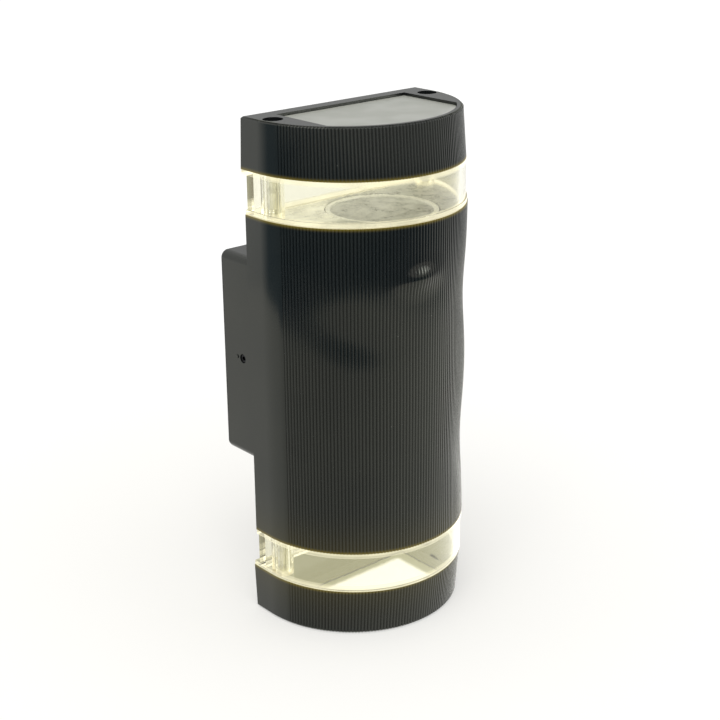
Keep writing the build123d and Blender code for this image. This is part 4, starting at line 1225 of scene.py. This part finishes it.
def seat_screws(node, axis, thread_share=1.0):
    """Replaces a node of screws with threaded, cross-recess ones on the same seats."""
    first_turn, next_turn = 17, 53
    seats, (head_radius, head_height, shank, length) = screw_facts(node, axis)
    thread = max(length - head_height, 0.0) * thread_share
    pattern = mesh_object(f"{node}_pattern", screw_mesh(head_radius, head_height, shank, length, thread))
    points = bpy.data.meshes.new(f"{node}_seats")
    points.from_pydata([seat for seat, _ in seats], [], [])
    turn = points.attributes.new("turn", "FLOAT_VECTOR", "POINT")
    for i, (_, direction) in enumerate(seats):
        spin = Matrix.Rotation(radians(first_turn + next_turn * i), 3, "Z")
        turn.data[i].vector = (direction.to_track_quat("Z", "Y").to_matrix() @ spin).to_euler()
    made = grown(f"{node}_finished", points, seats_tree(), {"Screw": pattern, "Finish": finish_of(node)})
    bpy.data.objects.remove(pattern)
    return settle(made, node)


class WALLLIGHT_OT_stage(bpy.types.Operator):
    """Lay the floor, hang the light and set the camera up"""

    bl_idname = "wall_light.stage"
    bl_label = "Stage"

    def execute(self, context):
        studio = context.scene.light_studio
        lay_floor(studio)
        lay_dark_room(studio)
        lay_bright_table(studio)
        hang_softbox(studio)
        light_studio(context.scene, studio)
        set_camera(context.scene, studio)
        return {"FINISHED"}


def picture_rays(tree):
    """1 on the rays that draw a picture of the surround, straight or in gloss or glass, and 0 on others."""
    path = put(tree, "ShaderNodeLightPath").outputs
    seen = maths(tree, "MAXIMUM", path["Is Camera Ray"], path["Is Glossy Ray"])
    return maths(tree, "MAXIMUM", seen, path["Is Transmission Ray"])


def sheet(name, corner):
    """A four-cornered sheet. corner gives the place of each corner, from its two signs."""
    mesh = bmesh.new()
    mesh.faces.new([mesh.verts.new(corner(x, y)) for x, y in ((-1, -1), (1, -1), (1, 1), (-1, 1))])
    return mesh_object(name, mesh)


def paint_stage(piece, material, surface):
    """Gives a piece of the studio a material that ends in a surface."""
    put(material.node_tree, "ShaderNodeOutputMaterial", {"Surface": surface})
    piece.data.materials.append(material)


def level_reach(tree):
    """How far from the origin a point of the floor or the table lies."""
    place = put(tree, "ShaderNodeTexCoord").outputs["Object"]
    level = out(tree, "ShaderNodeVectorMath", {0: place, 1: (1.0, 1.0, 0.0)}, operation="MULTIPLY")
    return put(tree, "ShaderNodeVectorMath", {0: level}, operation="LENGTH").outputs["Value"]


def lay_floor(studio):
    """A pale floor that keeps the light's shade round it, partly cast and partly painted, and looks plain
    white farther off.
    """
    half, ground = studio.floor_size / 2, cad_box[0].z - FLOOR_GAP
    floor = sheet("floor", lambda x, y: (x * half, y * half, ground))
    material, tree = empty_material("white floor")
    plain = out(tree, "ShaderNodeBsdfDiffuse", {"Color": (*studio.floor_colour, 1.0)})
    white = out(tree, "ShaderNodeEmission",
                {"Color": (*studio.floor_white, 1.0), "Strength": studio.floor_level})
    # Painted shade: nearer the light the floor's own white is weaker, so round the light the floor is darker
    # and warmer, besides its cast shadow.
    glow = ramp(tree, level_reach(tree), SHADE_START, studio.shade_reach, studio.floor_glow, FAR_GLOW)
    share = times(tree, picture_rays(tree), glow)
    paint_stage(floor, material, out(tree, "ShaderNodeMixShader", {0: share, 1: plain, 2: white}))


def gloss_only(obj):
    """Leaves an object of the studio to the gloss of the light alone."""
    obj.visible_camera = False
    obj.visible_diffuse = False
    obj.visible_transmission = False
    obj.visible_shadow = False


def lay_dark_room(studio):
    """The dark room beyond the table, which only the gloss of the light shows."""
    steps, ground = 48, cad_box[0].z
    mesh = bmesh.new()
    inner, outer = [], []
    for i in range(steps + 1):
        turn = studio.dark_start + (studio.dark_end - studio.dark_start) * i / steps
        side, front = studio.dark_side_reach * cos(turn), studio.dark_front_reach * sin(turn)
        inner.append(mesh.verts.new((side, front, ground)))
        far = studio.dark_outer_reach
        outer.append(mesh.verts.new((far * cos(turn), far * sin(turn), ground)))
    for i in range(steps):
        mesh.faces.new((inner[i], outer[i], outer[i + 1], inner[i + 1]))
    room = mesh_object("dark_room", mesh)
    material, tree = empty_material("dark room")
    turn = turn_round(tree)
    from_start = ramp(tree, turn, studio.dark_start, studio.dark_start + studio.dark_soft)
    to_end = ramp(tree, turn, studio.dark_end - studio.dark_soft, studio.dark_end, at_low=1.0, at_high=0.0)
    dark = out(tree, "ShaderNodeEmission", {"Color": (*studio.dark_colour, 1.0)})
    through = out(tree, "ShaderNodeBsdfTransparent")
    share = times(tree, from_start, to_end)
    paint_stage(room, material, out(tree, "ShaderNodeMixShader", {0: share, 1: through, 2: dark}))
    gloss_only(room)


def turn_round(tree):
    """How far round from the right a point of the studio lies, from nothing to a full turn."""
    place = object_place(tree)
    behind, left = times(tree, place["Y"], -1.0), times(tree, place["X"], -1.0)
    return plus(tree, maths(tree, "ARCTAN2", behind, left), pi)


def lay_bright_table(studio):
    """The table as gloss shows it: brighter towards the softbox, and dimmer in front of the camera."""
    ground = cad_box[0].z - TABLE_GAP
    side, front = studio.dark_side_reach * TABLE_SIDE_SHARE, studio.dark_front_reach * TABLE_FRONT_SHARE
    table = sheet("bright_table", lambda x, y: (side * x, front * y, ground))
    material, tree = empty_material("bright table")
    turn = turn_round(tree)
    right = ramp(tree, turn, studio.dim_turn, studio.bright_turn, studio.dim_level, studio.bright_level)
    left = ramp(tree, turn, studio.back_turn, studio.dim_turn, studio.back_level, studio.dim_level)
    level = maths(tree, "MAXIMUM", left, right)
    white = out(tree, "ShaderNodeEmission", {"Color": (*studio.table_colour, 1.0), "Strength": level})
    fade = ramp(tree, level_reach(tree), studio.dark_side_reach, side)
    clear = out(tree, "ShaderNodeBsdfTransparent")
    paint_stage(table, material, out(tree, "ShaderNodeMixShader", {0: fade, 1: white, 2: clear}))
    gloss_only(table)


def hang_softbox(studio):
    """The window of a large softbox to the front right, which only the gloss of the light shows."""
    toward = Vector(studio.softbox_place)
    level = toward.cross(Vector((0.0, 0.0, 1.0))).normalized()
    upright = level.cross(toward).normalized()
    half_width, half_height = studio.softbox_width / 2, studio.softbox_height / 2
    box = sheet("softbox", lambda x, y: toward + x * half_width * level + y * half_height * upright)
    material, tree = empty_material("softbox")
    paint_stage(box, material, out(tree, "ShaderNodeEmission", {"Strength": studio.softbox_level}))
    gloss_only(box)


def light_studio(scene, studio):
    """A white surround and one soft lamp overhead."""
    world = bpy.data.worlds.new("white surround")
    world.use_nodes = True
    tree = world.node_tree
    tree.nodes.clear()
    strength = mix_number(tree, picture_rays(tree), studio.sky_level, 1.0)
    sky = out(tree, "ShaderNodeBackground", {"Color": (1.0, 1.0, 1.0, 1.0), "Strength": strength})
    put(tree, "ShaderNodeOutputWorld", {"Surface": sky})
    scene.world = world
    lamp = bpy.data.lights.new("soft lamp", "AREA")
    lamp.energy = studio.lamp_power
    lamp.size = studio.lamp_size
    holder = add_object("soft_lamp", lamp)
    holder.location = studio.lamp_place
    holder.rotation_euler = (-Vector(studio.lamp_place)).to_track_quat("-Z", "Y").to_euler()
    scene.view_settings.view_transform = "Standard"


def set_camera(scene, studio):
    """The camera at the photograph's viewing angle."""
    turn, tilt, roll = studio.camera_turn, studio.camera_tilt, studio.camera_roll
    back = Vector((-sin(turn) * cos(tilt), -cos(turn) * cos(tilt), sin(tilt)))
    level = (-back).cross(Vector((0.0, 0.0, 1.0))).normalized()
    upright = level.cross(-back)
    right = cos(roll) * level + sin(roll) * upright
    up = cos(roll) * upright - sin(roll) * level
    lens = bpy.data.cameras.new("camera")
    lens.lens = studio.focal_length
    lens.sensor_width = SENSOR_WIDTH
    lens.shift_x = studio.shift
    lens.clip_start, lens.clip_end = 0.05, 50.0
    camera = add_object("camera", lens)
    axes = Matrix((right, up, back)).transposed()
    camera.matrix_world = Matrix.Translation(studio.camera_place) @ axes.to_4x4()
    scene.camera = camera


class WALLLIGHT_OT_housing(bpy.types.Operator):
    """Dress the ribbed housing, with its dents"""

    bl_idname = "wall_light.housing"
    bl_label = "Housing"

    def execute(self, context):
        settings = context.scene.light_housing
        mesh = merged_copy("body_housing")
        mark_grooves(mesh, lambda height: (housing_radius, front_centre_y))
        length = housing_high.z - housing_low.z
        slices = round(length / settings.slice_height)
        for i in range(1, slices):
            bmesh.ops.bisect_plane(mesh, geom=[*mesh.verts, *mesh.edges, *mesh.faces],
                                   plane_co=(0.0, 0.0, housing_low.z + length * i / slices),
                                   plane_no=(0.0, 0.0, 1.0), dist=MERGE_DISTANCE)
        values = {**dent_values(settings), "Finish": finish_of("body_housing")}
        wall = grown("body_housing_finished", mesh_data("housing_slices", mesh), dented_wall_tree(), values)
        settle(wall, "body_housing")
        foot = (housing_radius, front_centre_y, housing_low.z + settings.land_end_gap)
        head = (housing_radius, front_centre_y, housing_high.z - settings.land_end_gap)
        lay_crests("housing_rib_crests", "fitting", values | crest_values(settings, slices, foot, head))
        return {"FINISHED"}


def rib_free(edge):
    """True for an edge away from the ribs of a cap."""
    middle = (edge.verts[0].co + edge.verts[1].co) / 2
    radius, centre = cap_front(middle.z)
    reach = Vector((middle.x, middle.y - centre)).length
    return middle.y > centre or reach < radius - CAP_RIB_ZONE


class WALLLIGHT_OT_caps(bpy.types.Operator):
    """Dress the two ribbed caps"""

    bl_idname = "wall_light.caps"
    bl_label = "Caps"

    def execute(self, context):
        settings = context.scene.light_housing
        foot_z, head_z = cap_low.z, cap_high.z
        for node, side in (("upper_cap", 1), ("lower_cap", -1)):
            dressed(node, 0.25 * MM, rib_free, mark_cap)
            foot = (*cap_front(foot_z), side * (foot_z + settings.land_end_gap))
            head = (*cap_front(head_z - CAP_CHAMFER), side * (head_z - CAP_CHAMFER))
            values = crest_values(settings, 2, foot, head)
            lay_crests(f"{node}_rib_crests", frame["nodes"][node]["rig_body"], values)
        return {"FINISHED"}


def mark_cap(mesh):
    """Marks a cap's grooves for their painted shade, and its inner faces for the painted lamplight. The screw
    recesses stay dark.
    """
    mark_grooves(mesh, cap_front)
    mark = mesh.faces.layers.float.new("inside")
    screws_low, screws_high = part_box("upper_cap_screws")
    screw_radius = (screws_high.y - screws_low.y) / 2
    screw_x, screw_y = screws_high.x - screw_radius, screws_low.y + screw_radius
    for face in mesh.faces:
        middle = face.calc_center_median()
        radius, centre = cap_front(middle.z)
        reach = Vector((middle.x, min(middle.y - centre, 0.0))).length
        window_side = abs(middle.z) > cap_high.z - WINDOW_DEPTH
        from_screw = Vector((abs(middle.x) - screw_x, middle.y - screw_y))
        facing = Vector((face.normal.x if middle.x > 0 else -face.normal.x, face.normal.y))
        by_screw = from_screw.length < screw_radius + RECESS_WALL
        in_recess = by_screw and from_screw.dot(facing) <= MERGE_DISTANCE
        in_shell = reach < radius - CAP_WALL and middle.y < cap_high.y - CAP_WALL
        if in_shell and not window_side and not in_recess:
            face[mark] = 1.0


def cap_front(height):
    """Radius and centre of a cap's round front at a height above or below the middle."""
    share = (abs(height) - cap_low.z) / (cap_high.z - cap_low.z)
    radius = (CAP_FOOT_RADIUS - CAP_NARROWS * share) * MM
    centre = cap_low.y + CAP_SETS_BACK * MM * share + radius
    return radius, centre


class WALLLIGHT_OT_wall_box(bpy.types.Operator):
    """Dress the wall box with its seals and its bracket"""

    bl_idname = "wall_light.wall_box"
    bl_label = "Wall box"

    def execute(self, context):
        for node, width in (("wall_box", 0.35), ("box_seal", 0.25), ("wall_seal", 0.25),
                            ("lead_grommet", 0.3), ("wall_bracket", 0.2), ("grub_screws", 0.15)):
            dressed(node, width * MM)
        seat_screws("box_screws", 1)
        return {"FINISHED"}


def let_light_through(piece):
    """Keeps a clear piece from shading what lies behind it."""
    piece.visible_diffuse = False
    piece.visible_shadow = False


class WALLLIGHT_OT_bands(bpy.types.Operator):
    """Dress the clear bands and the seals above and below them"""

    bl_idname = "wall_light.bands"
    bl_label = "Clear bands and seals"

    def execute(self, context):
        for node in both_ends("clear_band"):
            let_light_through(dressed(node, 0.25 * MM))
        for name in ("cap_seal", "body_seal"):
            for node in both_ends(name):
                dressed(node, 0.15 * MM)
        return {"FINISHED"}


def mark_border(mesh):
    """Marks the border of a window glass, where it lies over its bed."""
    width, flat_normal = 2.8 * MM, 0.99
    mark = mesh.faces.layers.float.new("border")
    for sign in (-1, 1):
        flat = [f for f in mesh.faces if f.normal.z * sign > flat_normal]
        made = bmesh.ops.inset_region(mesh, faces=flat, thickness=width, depth=0.0, use_even_offset=True)
        for face in made["faces"]:
            face[mark] = 1.0


class WALLLIGHT_OT_windows(bpy.types.Operator):
    """Dress the window glasses and their beds"""

    bl_idname = "wall_light.windows"
    bl_label = "Windows"

    def execute(self, context):
        for node in both_ends("window_glass"):
            let_light_through(dressed(node, 0.3 * MM, change=mark_border))
        for node in both_ends("glass_bed"):
            dressed(node, 0.15 * MM)
        return {"FINISHED"}


class WALLLIGHT_OT_lamps(bpy.types.Operator):
    """Dress the reflector plates, the lamps and their holders"""

    bl_idname = "wall_light.lamps"
    bl_label = "Lamps and holders"

    def execute(self, context):
        widths = {"reflector_plate": 0.15, "lamp_shell": 0.3, "lamp_lens": 0.3, "lamp_pins": 0.2,
                  "lampholder": 0.3, "holder_contacts": 0.1, "lamp_leads": 0.0}
        for name, width in widths.items():
            for node in both_ends(name):
                dressed(node, width * MM)
        for node in both_ends("holder_screws"):
            seat_screws(node, 2)
        dressed("lamp_bracket", 0.2 * MM)
        seat_screws("lamp_bracket_screws", 1)
        return {"FINISHED"}


class WALLLIGHT_OT_terminals(bpy.types.Operator):
    """Dress the terminal block with its inserts and screws"""

    bl_idname = "wall_light.terminals"
    bl_label = "Terminal block"

    def execute(self, context):
        for node, width in (("terminal_block", 0.3), ("terminal_inserts", 0.1), ("clamp_screws", 0.1)):
            dressed(node, width * MM)
        seat_screws("block_screws", 1)
        return {"FINISHED"}


class WALLLIGHT_OT_cap_screws(bpy.types.Operator):
    """Set the long cap screws in their recesses"""

    bl_idname = "wall_light.cap_screws"
    bl_label = "Cap screws"

    def execute(self, context):
        for node in both_ends("cap_screws"):
            seat_screws(node, 2, thread_share=0.35)
        return {"FINISHED"}


class WALLLIGHT_PT_pieces(bpy.types.Panel):
    """The light's pieces, in the order in which they are made"""

    bl_label = "Wall light"
    bl_idname = "WALLLIGHT_PT_pieces"
    bl_space_type = "VIEW_3D"
    bl_region_type = "UI"
    bl_category = "Wall light"

    def draw(self, context):
        for operator in OPERATORS:
            self.layout.operator(operator.bl_idname)
        for name, settings in SETTINGS.items():
            box = self.layout.box()
            box.label(text=settings.__doc__)
            for prop in settings.__annotations__:
                box.prop(getattr(context.scene, name), prop)


SETTINGS = {"light_studio": StudioSettings, "light_housing": HousingSettings, "light_glow": GlowSettings,
            "light_finishes": FinishSettings}
OPERATORS = (WALLLIGHT_OT_stage, WALLLIGHT_OT_housing, WALLLIGHT_OT_caps, WALLLIGHT_OT_wall_box,
             WALLLIGHT_OT_bands, WALLLIGHT_OT_windows, WALLLIGHT_OT_lamps, WALLLIGHT_OT_terminals,
             WALLLIGHT_OT_cap_screws)
CLASSES = (*SETTINGS.values(), *OPERATORS, WALLLIGHT_PT_pieces)


def register():
    """Registers the classes and the settings."""
    for made in CLASSES:
        bpy.utils.register_class(made)
    for name, settings in SETTINGS.items():
        setattr(bpy.types.Scene, name, PointerProperty(type=settings))


def unregister():
    """Takes the settings and the classes out again."""
    for name in SETTINGS:
        delattr(bpy.types.Scene, name)
    for made in reversed(CLASSES):
        bpy.utils.unregister_class(made)


def main():
    """Makes every piece in order."""
    register()
    for operator in OPERATORS:
        area, name = operator.bl_idname.split(".")
        getattr(getattr(bpy.ops, area), name)()


if __name__ == "__main__":
    main()
